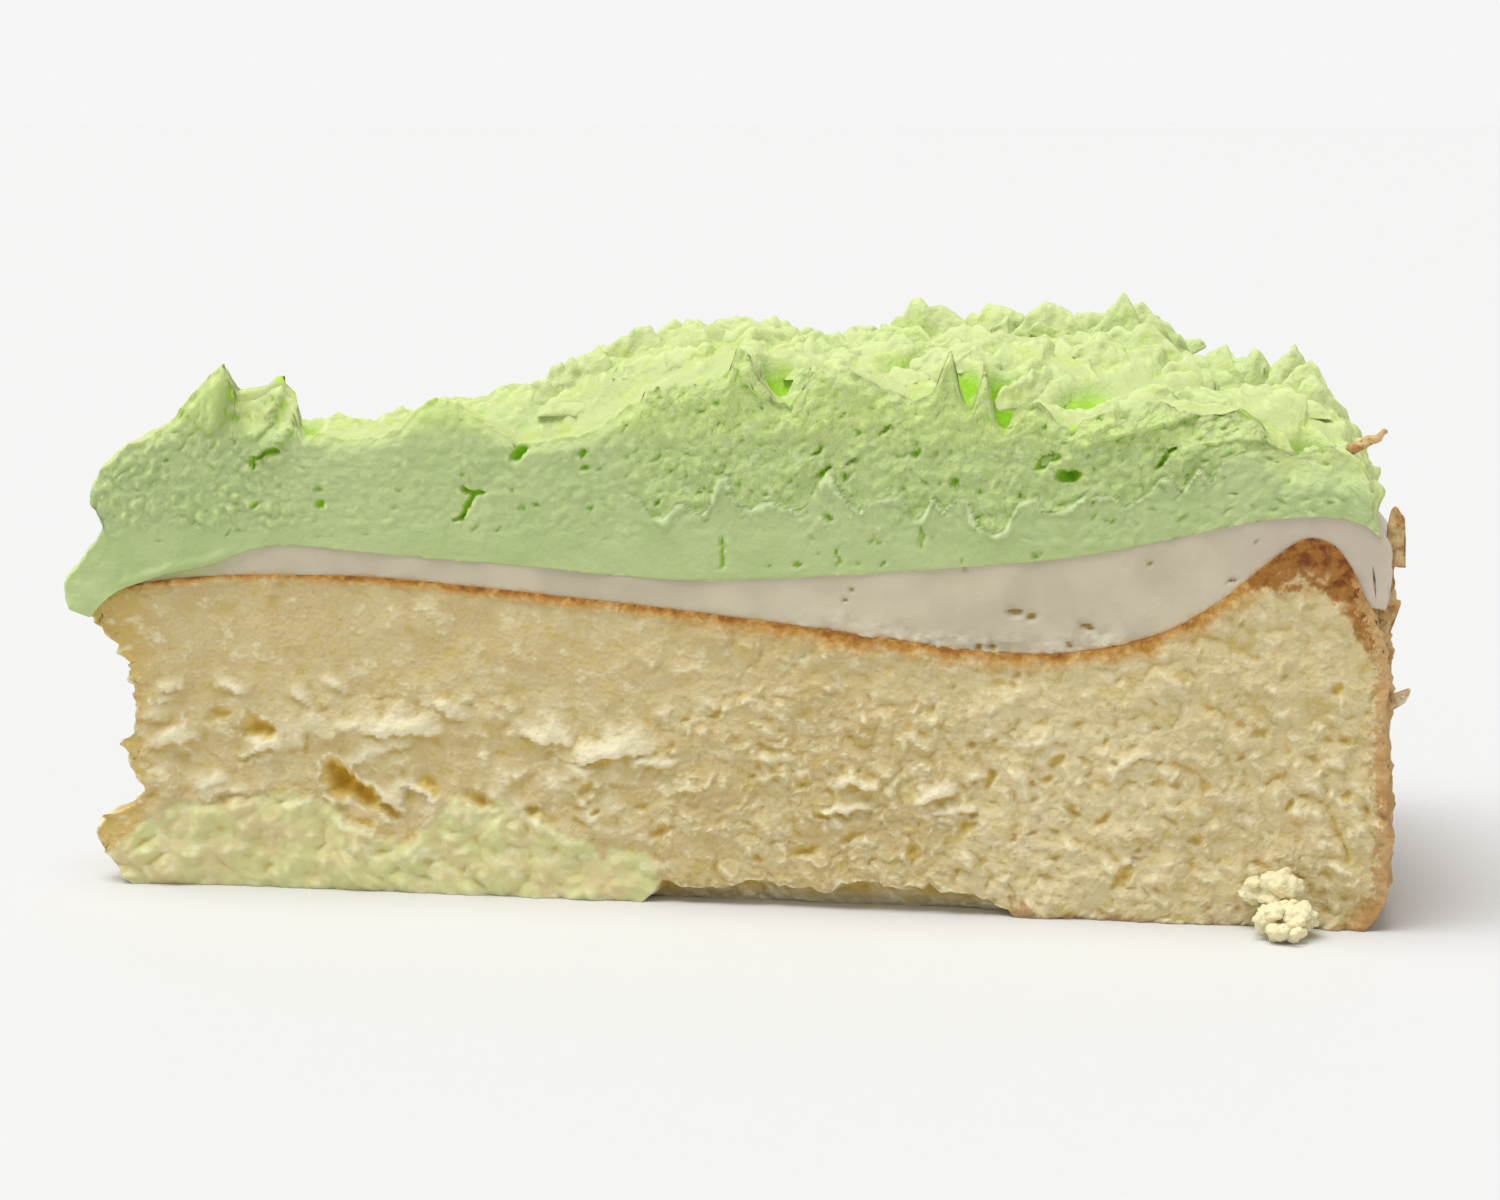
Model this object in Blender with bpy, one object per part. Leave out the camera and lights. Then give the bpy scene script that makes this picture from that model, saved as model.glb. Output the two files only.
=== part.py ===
"""A cut slice of key lime cheesecake, lying on its base as it came off the cake.

Three foods make it, and each is one solid: the baked cake with its browned skin, the poured
white cream that fills the dip in the cake and runs over its rim, and the heaped lime frosting.
Every layer is a patch of the slice's upright section, swept through the slice's angle.
Lengths are in millimetres up to place_in_slice, which hands Blender metres.
"""

import bmesh
import bpy
import numpy as np
from mathutils import Matrix, Vector

MM = 0.001

# Driving dimensions.
TIN_RADIUS = 127.0  # a ten-inch ring tin
SLICES = 12  # the cake is cut in twelve
HALF_ANGLE = np.pi / SLICES
CAKE_RIM_HEIGHT = 36.8
LAYER_GAP = 0.3  # between two layers' faceted faces
ORIGIN_OUT = 62.6  # from the cake's centre to the middle of the slice's box
ORIGIN_ACROSS = -3.4  # the crumb that hangs in front puts that middle off the slice's own middle
MESH_STEP = 2.5  # spacing of the cuts along the slice
TIP_STEP_SHARE = 0.6  # they are closer near the tip, where the peaks are small

# How the slice fattens at its tip, where a knife squashes it: extra half width and its reach.
CAKE_TIP_HALF = 1.5
FROSTING_TIP_HALF = 2.6
TIP_REACH = 11.0

# The section on the cut face, station by station from the tip to the rim. Each point is
# (distance from the cake's centre, height above the plate).
CRUST = [
    (0.2, 26.8), (1.2, 28.0), (2.4, 29.0), (3.6, 29.8), (5.4, 30.4), (8.5, 30.8), (13.0, 30.9),
    (19.0, 31.0), (30.0, 30.9), (45.0, 29.9), (60.0, 28.7), (75.0, 27.0), (88.0, 25.5),
    (97.0, 25.3), (105.0, 27.2), (111.0, 30.5), (115.5, 34.3), (119.0, CAKE_RIM_HEIGHT),
    (121.6, 36.5), (123.2, 34.8), (124.3, 32.8), (125.0, 31.0),
]  # fmt: skip
CREAM_TOP = [
    (0.2, 26.8), (1.2, 28.0), (2.4, 29.0), (3.5, 30.0), (5.2, 31.4), (8.3, 32.0), (13.0, 32.5),
    (19.0, 34.2), (30.0, 33.8), (45.0, 32.6), (60.0, 31.9), (75.0, 32.6), (88.0, 33.8),
    (97.0, 34.8), (105.0, 36.4), (111.5, 38.0), (116.5, 38.9), (120.8, 39.2), (124.0, 38.8),
    (126.4, 37.2), (127.2, 34.4), (126.7, 30.7),
]  # fmt: skip
FROSTING_TOP = [
    (-1.7, 27.4), (-2.0, 30.0), (0.4, 33.0), (1.9, 35.6), (0.9, 39.2), (4.0, 43.0), (10.0, 45.6),
    (18.0, 45.6), (29.0, 44.7), (44.5, 44.9), (60.0, 50.0), (74.0, 51.3), (88.0, 51.6),
    (97.0, 49.2), (106.0, 49.0), (113.0, 48.6), (118.4, 47.6), (122.0, 46.0), (123.4, 43.2),
    (125.2, 39.8),
]  # fmt: skip
CREAM_START = 4  # the station where the cream is first thick enough to see
TIP_PROFILE = [
    (4.4, 0.0), (2.6, 2.0), (1.2, 4.4), (2.0, 6.6), (5.4, 8.6), (4.2, 13.0), (5.0, 18.0),
    (4.4, 22.0), (1.8, 25.0), (0.2, 26.8),
]  # fmt: skip
RIM_PROFILE = [
    (125.4, 0.0), (126.9, 2.6), (127.4, 8.0), (TIN_RADIUS, 18.0), (127.1, 24.0), (126.4, 28.0),
    (125.0, 31.0),
]  # fmt: skip

# The frosting heaps up between the two cuts: (distance from the centre, height of the heap).
HEAP = [
    (0, 0.3), (15, 0.9), (28, 1.6), (36, 3.0), (47, 5.2), (56, 5.2), (66, 4.2), (75, 2.6),
    (84, 3.6), (95, 5.2), (103, 5.2), (110, 3.8), (117, 3.8), (122, 2.4), (127, 0.3),
]  # fmt: skip
# Spatula ridges grow towards the rim: (distance from the centre, height of a ridge).
RIDGE_HEIGHT = [(0, 0.0), (24, 0.3), (45, 0.5), (62, 0.9), (84, 1.2), (114, 1.3), (126, 0.2)]
RIDGE_SPACING = 11.5
RIDGE_SLANT = 0.62  # how far a ridge swings round for each millimetre out
# Pulled peaks and gouges: distance out, place across (-1 front cut, 1 back cut), height,
# radius and how far the tip leans outwards.
PEAKS = [
    (13.3, -0.5, 5.9, 2.5, 1.3),
    (18.6, -0.3, 4.2, 2.6, 0.9),
    (65.5, -0.85, 3.2, 3.4, 0.6),
    (71.2, -0.95, -3.2, 3.0, 0.0),
    (87.0, -0.92, 3.0, 3.4, 1.4),
    (92.4, -0.85, -3.6, 3.2, 0.0),
    (96.0, -0.4, 2.6, 4.4, 1.0),
    (101.0, -0.05, 4.2, 3.8, 1.2),
    (105.5, -0.6, -2.4, 3.8, 0.0),
    (104.0, 0.55, 3.0, 4.4, 1.0),
    (111.5, 0.2, 1.6, 3.2, 0.8),
    (118.0, -0.62, 1.6, 3.0, 0.6),
    (80.0, 0.55, 2.8, 4.8, 0.8),
    (58.0, 0.5, 1.6, 4.4, 0.6),
]

# Places on the front cut face: distance out, height, half length, half height, depth.
FACE_MARKS = [
    (25.0, 9.8, 4.6, 1.5, -2.0),  # torn hollow under the smear's edge
    (16.0, 14.0, 2.6, 1.2, -1.3),
    (44.0, 13.2, 7.0, 1.6, 0.9),  # a fold of dense crumb, pushed up by the knife
    (33.0, 17.2, 7.5, 1.8, 0.8),
    (73.0, 12.4, 6.0, 1.1, 0.7),
    (86.0, 11.0, 7.0, 1.2, 0.7),
]
SMEAR_TOP = [
    (3, 0), (6, 6.6), (16, 8.4), (21, 9.4), (29, 6.2), (34, 6.6), (38, 9.2), (45, 8.0), (52, 5.0),
    (58, 0),
]  # fmt: skip
SMEAR_DEPTH = 0.8
CHIP_START, CHIP_END, CHIP_HEIGHT = 56.0, 92.5, 3.0  # where the base's front edge broke away

# Crumbs that broke off at the front and lie against the cut: distance out, height of the
# centre, how far it stands in front of the cut, and the three half sizes.
CRUMBS = [
    (116.8, 2.6, 0.6, (3.5, 3.4, 2.7)),
    (118.4, 1.6, 5.8, (2.6, 4.0, 1.7)),
]
# Toasted flakes in the outer side: place across, distance out, height, half length, half
# width, thickness and tilt. At a tilt of 0 a flake points straight out; at 90 it stands up.
FROSTING_FLAKES = [(-0.9, 124.6, 46.6, 2.6, 1.9, 0.9, 22)]
CREAM_FLAKES = [(-0.9, 127.4, 36.2, 3.4, 2.2, 1.5, 76)]
CAKE_FLAKES = [(-0.9, 126.5, 28.4, 2.5, 2.2, 2.2, 28), (-0.91, 127.2, 21.8, 2.2, 1.9, 1.9, 12)]
FLAKE_SIDES = 9


def lattice_noise(points, seed):
    """Smooth noise of about -1 to 1: each lattice corner has its own slope, and they are blended."""
    cell = np.floor(points).astype(np.int64)
    inside = points - cell
    blend = inside**3 * (inside * (inside * 6 - 15) + 10)
    total = np.zeros(points.shape[:-1])
    for corner in np.ndindex(2, 2, 2):
        at = cell + corner
        code = at[..., 0] * 73856093 ^ at[..., 1] * 19349663 ^ at[..., 2] * 83492791
        code = (code ^ (seed * 2654435761)) & 0xFFFFFFFF
        code = (code ^ (code >> 15)) * 2246822519 & 0xFFFFFFFF
        code = code ^ (code >> 13)
        slope = np.stack([(code >> shift & 1023) / 511.5 - 1 for shift in (0, 10, 20)], -1)
        share = np.prod(np.where(corner, blend, 1 - blend), axis=-1)
        total += share * ((inside - corner) * slope).sum(-1)
    return total * 1.6


def wander(out, across, up, size, seed):
    """Noise at a point of the slice, with bumps about size millimetres apart."""
    out, across, up = np.broadcast_arrays(out, across, up)
    return lattice_noise(np.stack([out, across, up], -1) / size, seed)


def along(stations, t):
    """Catmull-Rom curve through the stations, at station number t."""
    line = np.array(stations, float)
    line = np.vstack([2 * line[0] - line[1], line, 2 * line[-1] - line[-2]])
    t = np.asarray(t, float)
    start = np.clip(np.floor(t).astype(int), 0, len(line) - 4)
    s = (t - start)[..., None]
    a, b, c, d = (line[start + k] for k in range(4))
    bend = (2 * a - 5 * b + 4 * c - d) * s**2 + (3 * b - a - 3 * c + d) * s**3
    return 0.5 * (2 * b + (c - a) * s + bend)


def outward(stations, t):
    """Unit normal of that curve, on its outer side."""
    step = 0.02
    run = along(stations, np.asarray(t) + step) - along(stations, np.asarray(t) - step)
    normal = np.stack([-run[..., 1], run[..., 0]], -1)
    return normal / np.linalg.norm(normal, axis=-1, keepdims=True)


def read_off(table, x):
    """Height of a table of (place, height), eased between its rows."""
    places, heights = np.array(table, float).T
    return np.interp(x, places, heights)


def hump(x):
    """1 at 0, falling smoothly to 0 at 1 and beyond."""
    return np.where(np.abs(x) < 1, (1 - np.clip(x, -1, 1) ** 2) ** 2, 0.0)


def ridges(out, across):
    """Spatula strokes: sharp-crested waves that swing round and wobble."""
    wobble = wander(out, across, 0, 18.0, 5) * 4.0
    phase = (out + RIDGE_SLANT * across + wobble) / RIDGE_SPACING
    crest = 0.5 + 0.5 * np.cos(2 * np.pi * phase)
    return read_off(RIDGE_HEIGHT, out) * (crest**1.4 * 2 - 0.9)


def frosting_relief(out, v):
    """How far the frosting stands off its cut edge's line, and how far its peaks lean."""
    across = out * np.sin(HALF_ANGLE * v)
    height = read_off(HEAP, out) * (1 - np.abs(v) ** 2.6)
    height = height + ridges(out, across) * (1 - 0.45 * np.abs(v) ** 4)
    height = height + 0.7 * wander(out, across, 0, 5.0, 7) * np.clip(out / 40, 0.15, 1)
    lean = np.zeros_like(height)
    for peak_out, place, rise, radius, tip in PEAKS:
        off = across - peak_out * np.sin(HALF_ANGLE * place)
        near = hump(np.hypot(out - peak_out, off) / (1.7 * radius))
        height = height + rise * near**1.2
        lean = lean + tip * near**2
    return height, lean


def crumb_relief(out, up, seed):
    """Torn crumb on a cut face: streaks stretched along the slice, coarser near the tip."""
    coarse = wander(out / 2.2, 0, up, 3.6, seed)
    fine = wander(out / 1.8, 0, up + out * 0.12, 2.0, seed + 1)
    sway = wander(out, 0, up, 34.0, seed + 2)
    return 0.5 * coarse + 0.28 * fine + 0.6 * sway


def front_marks(out, up):
    """What only the front cut face shows: hollows, folds, the smear and the hanging crumb."""
    depth = np.zeros(np.broadcast(out, up).shape)
    for mark_out, mark_up, half_length, half_height, deep in FACE_MARKS:
        slant = (out - mark_out) * 0.2
        near = np.hypot((out - mark_out) / half_length, (up - mark_up + slant) / half_height)
        depth = depth + deep * hump(near * 0.75)
    smear = np.clip((read_off(SMEAR_TOP, out) - up) / 1.5, 0, 1)
    return depth + SMEAR_DEPTH * smear * (0.7 + 0.5 * wander(out, 0, up, 4.0, 21))


def coons(bottom, top, left, right, u, w):
    """The point of a patch held by four edge curves, which meet at its corners."""
    u, w = u[..., None], w[..., None]
    lifted = (1 - w) * bottom(u[..., 0]) + w * top(u[..., 0])
    crossed = (1 - u) * left(w[..., 0]) + u * right(w[..., 0])
    zero, one = np.zeros(1), np.ones(1)
    corners = (1 - u) * ((1 - w) * bottom(zero) + w * top(zero))
    corners = corners + u * ((1 - w) * bottom(one) + w * top(one))
    return lifted + crossed - corners


def straight(a, b):
    """An edge curve that is a straight line."""
    a, b = np.array(a, float), np.array(b, float)
    return lambda t: a + (b - a) * np.asarray(t)[..., None]


def through(points):
    """An edge curve through points, at an even pace along its length."""
    number = np.linspace(0, len(points) - 1, 24 * len(points))
    line = along(points, number)
    run = np.r_[0, np.cumsum(np.linalg.norm(np.diff(line, axis=0), axis=1))]
    run = run / run[-1]
    return lambda t: np.stack([np.interp(t, run, line[:, k]) for k in (0, 1)], -1)


def station_cuts():
    """Station numbers at an even pace along the crust and the frosting's top taken together."""
    last = len(FROSTING_TOP) - 1
    number = np.linspace(0, last, 40 * last)
    steps = [np.diff(along(line, number), axis=0) for line in (CRUST, FROSTING_TOP)]
    pace = sum(np.linalg.norm(step, axis=1) for step in steps) / 2
    near_tip = along(FROSTING_TOP, number)[1:, 0] < 2.4 * TIP_REACH
    run = np.r_[0, np.cumsum(pace / np.where(near_tip, TIP_STEP_SHARE, 1))]
    count = round(run[-1] / MESH_STEP)
    inner = np.interp(np.linspace(0, run[-1], count + 1), run, number)
    outer = np.arange(last, len(CRUST) - 1) + 1
    return np.unique(np.r_[inner, CREAM_START, outer])


CUTS = station_cuts()


def sliced_block(cuts_u, cuts_v, cuts_w):
    """A unit cube scored right round by planes, so that it can be bent into a layer."""
    mesh = bmesh.new()
    bmesh.ops.create_cube(mesh, size=1, matrix=Matrix.Translation((0.5, 0.5, 0.5)))
    for axis, cuts in enumerate((cuts_u, cuts_v, cuts_w)):
        normal = Vector((0, 0, 0))
        normal[axis] = 1
        for cut in cuts[1:-1]:
            everything = mesh.verts[:] + mesh.edges[:] + mesh.faces[:]
            bmesh.ops.bisect_plane(
                mesh, geom=everything, dist=1e-7, plane_co=normal * float(cut), plane_no=normal
            )
    return mesh


def place_in_slice(out, v, up, side_relief, tip_half):
    """Carries (distance out, place across from -1 to 1, height) into the slice, in metres."""
    angle = HALF_ANGLE * v
    squash = tip_half * np.exp(-((np.maximum(out, 0) / TIP_REACH) ** 2))
    at_cut = np.where(np.abs(v) > 0.999, np.sign(v), 0)
    x = out * np.cos(angle) - ORIGIN_OUT
    y = out * np.sin(angle) + v * squash + at_cut * side_relief - ORIGIN_ACROSS
    return np.stack([x, y, up], -1) * MM


def bend(mesh, name, shape, colour, roughness):
    """Gives each corner of a scored block its place, and the finished object its material."""
    corners = np.array([corner.co for corner in mesh.verts])
    placed = shape(corners[:, 0], corners[:, 1] * 2 - 1, corners[:, 2])
    for corner, place in zip(mesh.verts, placed):
        corner.co = place
    bmesh.ops.recalc_face_normals(mesh, faces=mesh.faces)
    data = bpy.data.meshes.new(name)
    mesh.to_mesh(data)
    mesh.free()
    data.materials.append(plain_material(name, colour, roughness))
    layer = bpy.data.objects.new(name, data)
    slice_parts.objects.link(layer)
    return layer


def plain_material(name, colour, roughness):
    """A Principled surface of one colour."""
    material = bpy.data.materials.new(name)
    material.use_nodes = True
    surface = material.node_tree.nodes["Principled BSDF"]
    surface.inputs["Base Color"].default_value = (*colour, 1)
    surface.inputs["Roughness"].default_value = roughness
    surface.inputs["Metallic"].default_value = 0
    return material


def cake_shape(u, v, w):
    """The baked cake: base, crust line, torn tip and tin side round one patch."""
    last = len(CRUST) - 1
    edges = (
        straight(TIP_PROFILE[0], RIM_PROFILE[0]),
        lambda t: along(CRUST, t * last),
        through(TIP_PROFILE),
        through(RIM_PROFILE),
    )
    out, up = np.moveaxis(coons(*edges, u, w), -1, 0)
    chip = CHIP_HEIGHT * np.sqrt(hump((2 * out - CHIP_START - CHIP_END) / (CHIP_END - CHIP_START)))
    chip = np.where(v < -0.999, chip * (0.8 + 0.5 * wander(out, 0, 0, 6.0, 31)), 0)
    up = np.maximum(up + np.clip(chip, 0, None) * (1 - w), 0)
    cut = crumb_relief(out, up, 11)
    relief = np.where(v < 0, cut + front_marks(out, up), crumb_relief(out, up, 41))
    relief = relief * np.clip(up / 2 + 0.2, 0, 1) * np.where(w > 0.999, 0.3, 1)
    side = 0.6 * wander(out * v * HALF_ANGLE, 50, up, 4.5, 51) * np.clip(u * 60 - 59, 0, 1)
    rough_side = side * np.where((w > 0.001) & (w < 0.999), 1, 0)
    return place_in_slice(out + rough_side, v, up, relief, CAKE_TIP_HALF)


def cream_shape(u, v, w):
    """The poured cream: level on top where it filled the dip, and folded over the rim."""
    t = CREAM_START + u * (len(CREAM_TOP) - 1 - CREAM_START)
    low = along(CRUST, t) + LAYER_GAP * outward(CRUST, t)
    high = along(CREAM_TOP, t)
    out, up = np.moveaxis(low + (high - low) * w[..., None], -1, 0)
    relief = 0.55 * crumb_relief(out, up, 61)
    return place_in_slice(out, v, up, relief, CAKE_TIP_HALF)


def frosting_shape(u, v, w):
    """The heaped frosting: its foot follows the cream, and its top is ridged and peaked."""
    t = u * (len(FROSTING_TOP) - 1)
    low = along(CREAM_TOP, t) + LAYER_GAP * outward(CREAM_TOP, t)
    crest, normal = along(FROSTING_TOP, t), outward(FROSTING_TOP, t)
    height, lean = frosting_relief(crest[..., 0], v)
    high = crest + normal * height[..., None]
    high[..., 0] += lean
    out, up = np.moveaxis(low + (high - low) * w[..., None], -1, 0)
    relief = 0.9 * crumb_relief(out, up, 71) * np.clip(w * 5, 0, 1)
    return place_in_slice(out, v, up, relief, FROSTING_TIP_HALF)


def spot(across, out, up):
    """A point of the slice as a vector, in metres."""
    angle = HALF_ANGLE * across
    y = out * np.sin(angle) - ORIGIN_ACROSS
    return MM * Vector((out * np.cos(angle) - ORIGIN_OUT, y, up)), angle


def add_piece(name, mesh):
    """An object from a scratch mesh, ready to be joined to its layer."""
    data = bpy.data.meshes.new(name)
    mesh.to_mesh(data)
    mesh.free()
    return bpy.data.objects.new(name, data)


def flake(across, out, up, half_length, half_width, thick, tilt):
    """One toasted flake: a thin oval disc, part of it sunk in the side."""
    mesh = bmesh.new()
    bmesh.ops.create_cone(
        mesh, cap_ends=True, segments=FLAKE_SIDES, radius1=1, radius2=0.8, depth=1
    )
    centre, angle = spot(across, out, up)
    turn = Matrix.Rotation(angle, 4, "Z") @ Matrix.Rotation(-np.radians(tilt), 4, "Y")
    oval = Matrix.Diagonal((half_length, half_width, thick, 1))
    mesh.transform(Matrix.Translation(centre) @ turn @ Matrix.Scale(MM, 4) @ oval)
    return add_piece("flake", mesh)


def crumb(out, up, in_front, half_sizes):
    """One broken crumb: a ball with a rough skin, flattened where it lies on the plate."""
    mesh = bmesh.new()
    bmesh.ops.create_icosphere(mesh, subdivisions=2, radius=1)
    ball = np.array([corner.co for corner in mesh.verts])
    rough = 1 + 0.22 * wander(ball[:, 0] + out, ball[:, 1], ball[:, 2], 0.8, 81)
    centre, angle = spot(-1, out, up)
    centre = centre - MM * in_front * Vector((-np.sin(angle), np.cos(angle), 0))
    placed = ball * rough[:, None] * np.array(half_sizes) * MM + np.array(centre)
    placed[:, 2] = np.maximum(placed[:, 2], 0)
    for corner, place in zip(mesh.verts, placed):
        corner.co = place
    return add_piece("crumb", mesh)


def fuse(layer, toppings):
    """Joins flakes and crumbs to the layer they lie on with one Boolean union."""
    pieces = bpy.data.collections.new(layer.name + "_toppings")
    bpy.context.scene.collection.children.link(pieces)
    for piece in toppings:
        pieces.objects.link(piece)
    union = layer.modifiers.new("toppings", "BOOLEAN")
    union.operation = "UNION"
    union.operand_type = "COLLECTION"
    union.collection = pieces
    union.solver = "EXACT"
    graph = bpy.context.evaluated_depsgraph_get()
    joined = bpy.data.meshes.new_from_object(layer.evaluated_get(graph))
    layer.modifiers.clear()
    layer.data = joined
    for piece in list(pieces.objects):
        bpy.data.objects.remove(piece)
    bpy.data.collections.remove(pieces)


for old in list(bpy.data.objects):
    bpy.data.objects.remove(old)
slice_parts = bpy.data.collections.new("key_lime_cheesecake_slice")
bpy.context.scene.collection.children.link(slice_parts)

cake_block = sliced_block(CUTS / (len(CRUST) - 1), np.linspace(0, 1, 7), np.linspace(0, 1, 12))
cake = bend(cake_block, "cake", cake_shape, (0.57, 0.45, 0.22), 0.85)
fuse(cake, [crumb(*row) for row in CRUMBS] + [flake(*row) for row in CAKE_FLAKES])

cream_cuts = CUTS[CUTS >= CREAM_START] - CREAM_START
cream_block = sliced_block(cream_cuts / cream_cuts[-1], np.linspace(0, 1, 7), np.linspace(0, 1, 3))
cream = bend(cream_block, "white_cream", cream_shape, (0.55, 0.48, 0.36), 0.45)
fuse(cream, [flake(*row) for row in CREAM_FLAKES])

frosting_cuts = CUTS[CUTS <= len(FROSTING_TOP) - 1]
frosting_block = sliced_block(
    frosting_cuts / frosting_cuts[-1], np.linspace(0, 1, 17), np.linspace(0, 1, 7)
)
frosting = bend(frosting_block, "lime_frosting", frosting_shape, (0.5, 0.68, 0.24), 0.6)
fuse(frosting, [flake(*row) for row in FROSTING_FLAKES])
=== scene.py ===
# %% [markdown]
# # A slice of key lime cheesecake
# The slice is a twelfth of a tall cheesecake, lying on its base: baked cake, a poured white
# cream that fills the dip in it, and lime frosting heaped on top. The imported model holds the
# three foods as plain solids. This lesson gives each of them the surface that the knife, the
# oven and the spatula left: crumb, crust, pits, torn edges and pulled leaves of frosting.

import bpy
import numpy as np
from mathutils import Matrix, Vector


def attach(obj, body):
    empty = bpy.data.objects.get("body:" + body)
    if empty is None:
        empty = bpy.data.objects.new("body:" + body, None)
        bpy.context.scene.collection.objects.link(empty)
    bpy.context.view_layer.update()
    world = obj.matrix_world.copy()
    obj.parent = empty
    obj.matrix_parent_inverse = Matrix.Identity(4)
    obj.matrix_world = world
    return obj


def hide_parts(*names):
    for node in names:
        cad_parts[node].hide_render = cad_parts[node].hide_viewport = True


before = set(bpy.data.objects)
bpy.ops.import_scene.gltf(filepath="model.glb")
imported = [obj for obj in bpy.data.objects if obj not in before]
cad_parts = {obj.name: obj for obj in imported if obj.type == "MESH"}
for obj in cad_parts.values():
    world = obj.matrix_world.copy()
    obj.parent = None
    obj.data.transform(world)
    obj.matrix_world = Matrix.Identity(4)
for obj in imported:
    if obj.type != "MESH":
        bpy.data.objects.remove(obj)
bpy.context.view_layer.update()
print("nodes:", sorted(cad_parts))

# %% [markdown]
# ## The sizes that the slice was built from
# A layer can be given more detail only if it keeps the form of the solid it stands for. So the
# lesson starts from the same named sizes: three lines of stations on the cut face, each point
# (distance from the cake's centre, height above the plate) in millimetres. The other way would
# be to read the solids' corners, but a line of stations can be sampled as finely as we like.

# %% Sizes
MM = 0.001
TIN_RADIUS, SLICES = 127.0, 12
HALF_ANGLE = np.pi / SLICES
ORIGIN_OUT, ORIGIN_ACROSS = 62.6, -3.4
CAKE_TIP_HALF, FROSTING_TIP_HALF, TIP_REACH = 1.5, 2.6, 11.0
CRUST = [
    (0.2, 26.8), (1.2, 28.0), (2.4, 28.9), (3.6, 29.5), (5.4, 29.9), (8.5, 30.4), (13.0, 30.8),
    (19.0, 31.0), (30.0, 31.0), (45.0, 29.9), (60.0, 28.6), (75.0, 27.0), (88.0, 25.5),
    (97.0, 25.5), (105.0, 27.2), (111.0, 30.5), (115.5, 34.3), (119.0, 36.8), (121.6, 36.5),
    (123.2, 34.8), (124.3, 32.8), (125.0, 31.0),
]  # fmt: skip
CREAM_TOP = [
    (0.2, 26.8), (1.2, 28.0), (2.4, 29.0), (3.5, 29.7), (5.2, 30.3), (8.3, 31.3), (13.0, 32.3),
    (19.0, 34.2), (30.0, 33.6), (45.0, 32.7), (60.0, 31.8), (75.0, 32.6), (88.0, 33.8),
    (97.0, 34.8), (105.0, 36.4), (111.5, 38.0), (116.5, 38.9), (120.8, 39.2), (124.0, 38.8),
    (126.4, 37.2), (127.2, 34.4), (126.7, 30.7),
]  # fmt: skip
FROSTING_TOP = [
    (-1.7, 27.4), (-2.0, 30.0), (0.4, 33.0), (1.9, 35.6), (0.9, 39.2), (4.0, 43.0), (10.0, 45.6),
    (18.0, 45.6), (29.0, 44.7), (44.5, 44.9), (60.0, 50.0), (74.0, 51.3), (88.0, 51.6),
    (97.0, 49.2), (106.0, 49.0), (113.0, 48.6), (118.4, 47.6), (122.0, 46.0), (123.4, 43.2),
    (125.2, 39.8),
]  # fmt: skip
TIP_PROFILE = [
    (4.4, 0.0), (2.6, 2.0), (1.2, 4.4), (2.0, 6.6), (5.4, 8.6), (4.2, 13.0), (5.0, 18.0),
    (4.4, 22.0), (1.8, 25.0), (0.2, 26.8),
]  # fmt: skip
RIM_PROFILE = [
    (125.4, 0.0), (126.9, 2.6), (127.4, 8.0), (TIN_RADIUS, 18.0), (127.1, 24.0), (126.4, 28.0),
    (125.0, 31.0),
]  # fmt: skip
CREAM_START = 4  # the station where the cream begins
CUT_NOISE_ACROSS = 40.0  # each cut reads its noise this far out to its side, so they differ
FRONT = np.array([-np.sin(HALF_ANGLE), -np.cos(HALF_ANGLE), 0])  # out of the front cut
BACK = FRONT * (1, -1, 1)  # out of the back cut

# %% [markdown]
# ## Unevenness
# Nothing in food is even, and nothing in it is regular. Noise gives an uneven surface that is
# the same on every run: each corner of a lattice has its own slope and they are blended. Grains
# of crumb need rounded lumps with creases between them, and those come from the distance to
# scattered seeds.


# %% Noise and grains
def mixed(cell, seed):
    """Three numbers from 0 to 1 for each whole cell: its coordinates times primes, bits mixed."""
    code = cell[..., 0] * 73856093 ^ cell[..., 1] * 19349663 ^ cell[..., 2] * 83492791
    code = (code ^ (seed * 2654435761)) & 0xFFFFFFFF
    code = (code ^ (code >> 15)) * 2246822519 & 0xFFFFFFFF
    code = code ^ (code >> 13)
    return np.stack([(code >> shift & 1023) / 1023 for shift in (0, 10, 20)], -1)


def wander(out, across, up, size, seed):
    """Noise of -1 to 1 with bumps about size apart: blended slopes of the lattice's corners."""
    points = np.stack(np.broadcast_arrays(out, across, up), -1) / size
    cell = np.floor(points).astype(np.int64)
    inside = points - cell
    blend = inside**3 * (inside * (inside * 6 - 15) + 10)
    total = np.zeros(points.shape[:-1])
    for corner in np.ndindex(2, 2, 2):
        slope = mixed(cell + corner, seed) * 2 - 1
        share = np.prod(np.where(corner, blend, 1 - blend), axis=-1)
        total += share * ((inside - corner) * slope).sum(-1)
    return total * 1.6


def rough(out, across, up, size, seed, octaves=3):
    """Noise on noise: each octave has half the size and half the height of the one before."""
    return sum(wander(out, across, up, size / 2**k, seed + k) / 2**k for k in range(octaves))


def grains(out, across, up, size, seed):
    """Distance to the nearest of one seed a cell, in cells, and that seed's own number."""
    points = np.stack(np.broadcast_arrays(out, across, up), -1) / size
    cell = np.floor(points).astype(np.int64)
    nearest, number = np.full(points.shape[:-1], 9.0), np.zeros(points.shape[:-1])
    for corner in np.ndindex(3, 3, 3):
        around = cell + corner - 1
        place = mixed(around, seed)
        gap = ((around + place - points) ** 2).sum(-1)
        number = np.where(gap < nearest, place[..., 0], number)
        nearest = np.minimum(gap, nearest)
    return np.sqrt(nearest), number


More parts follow.
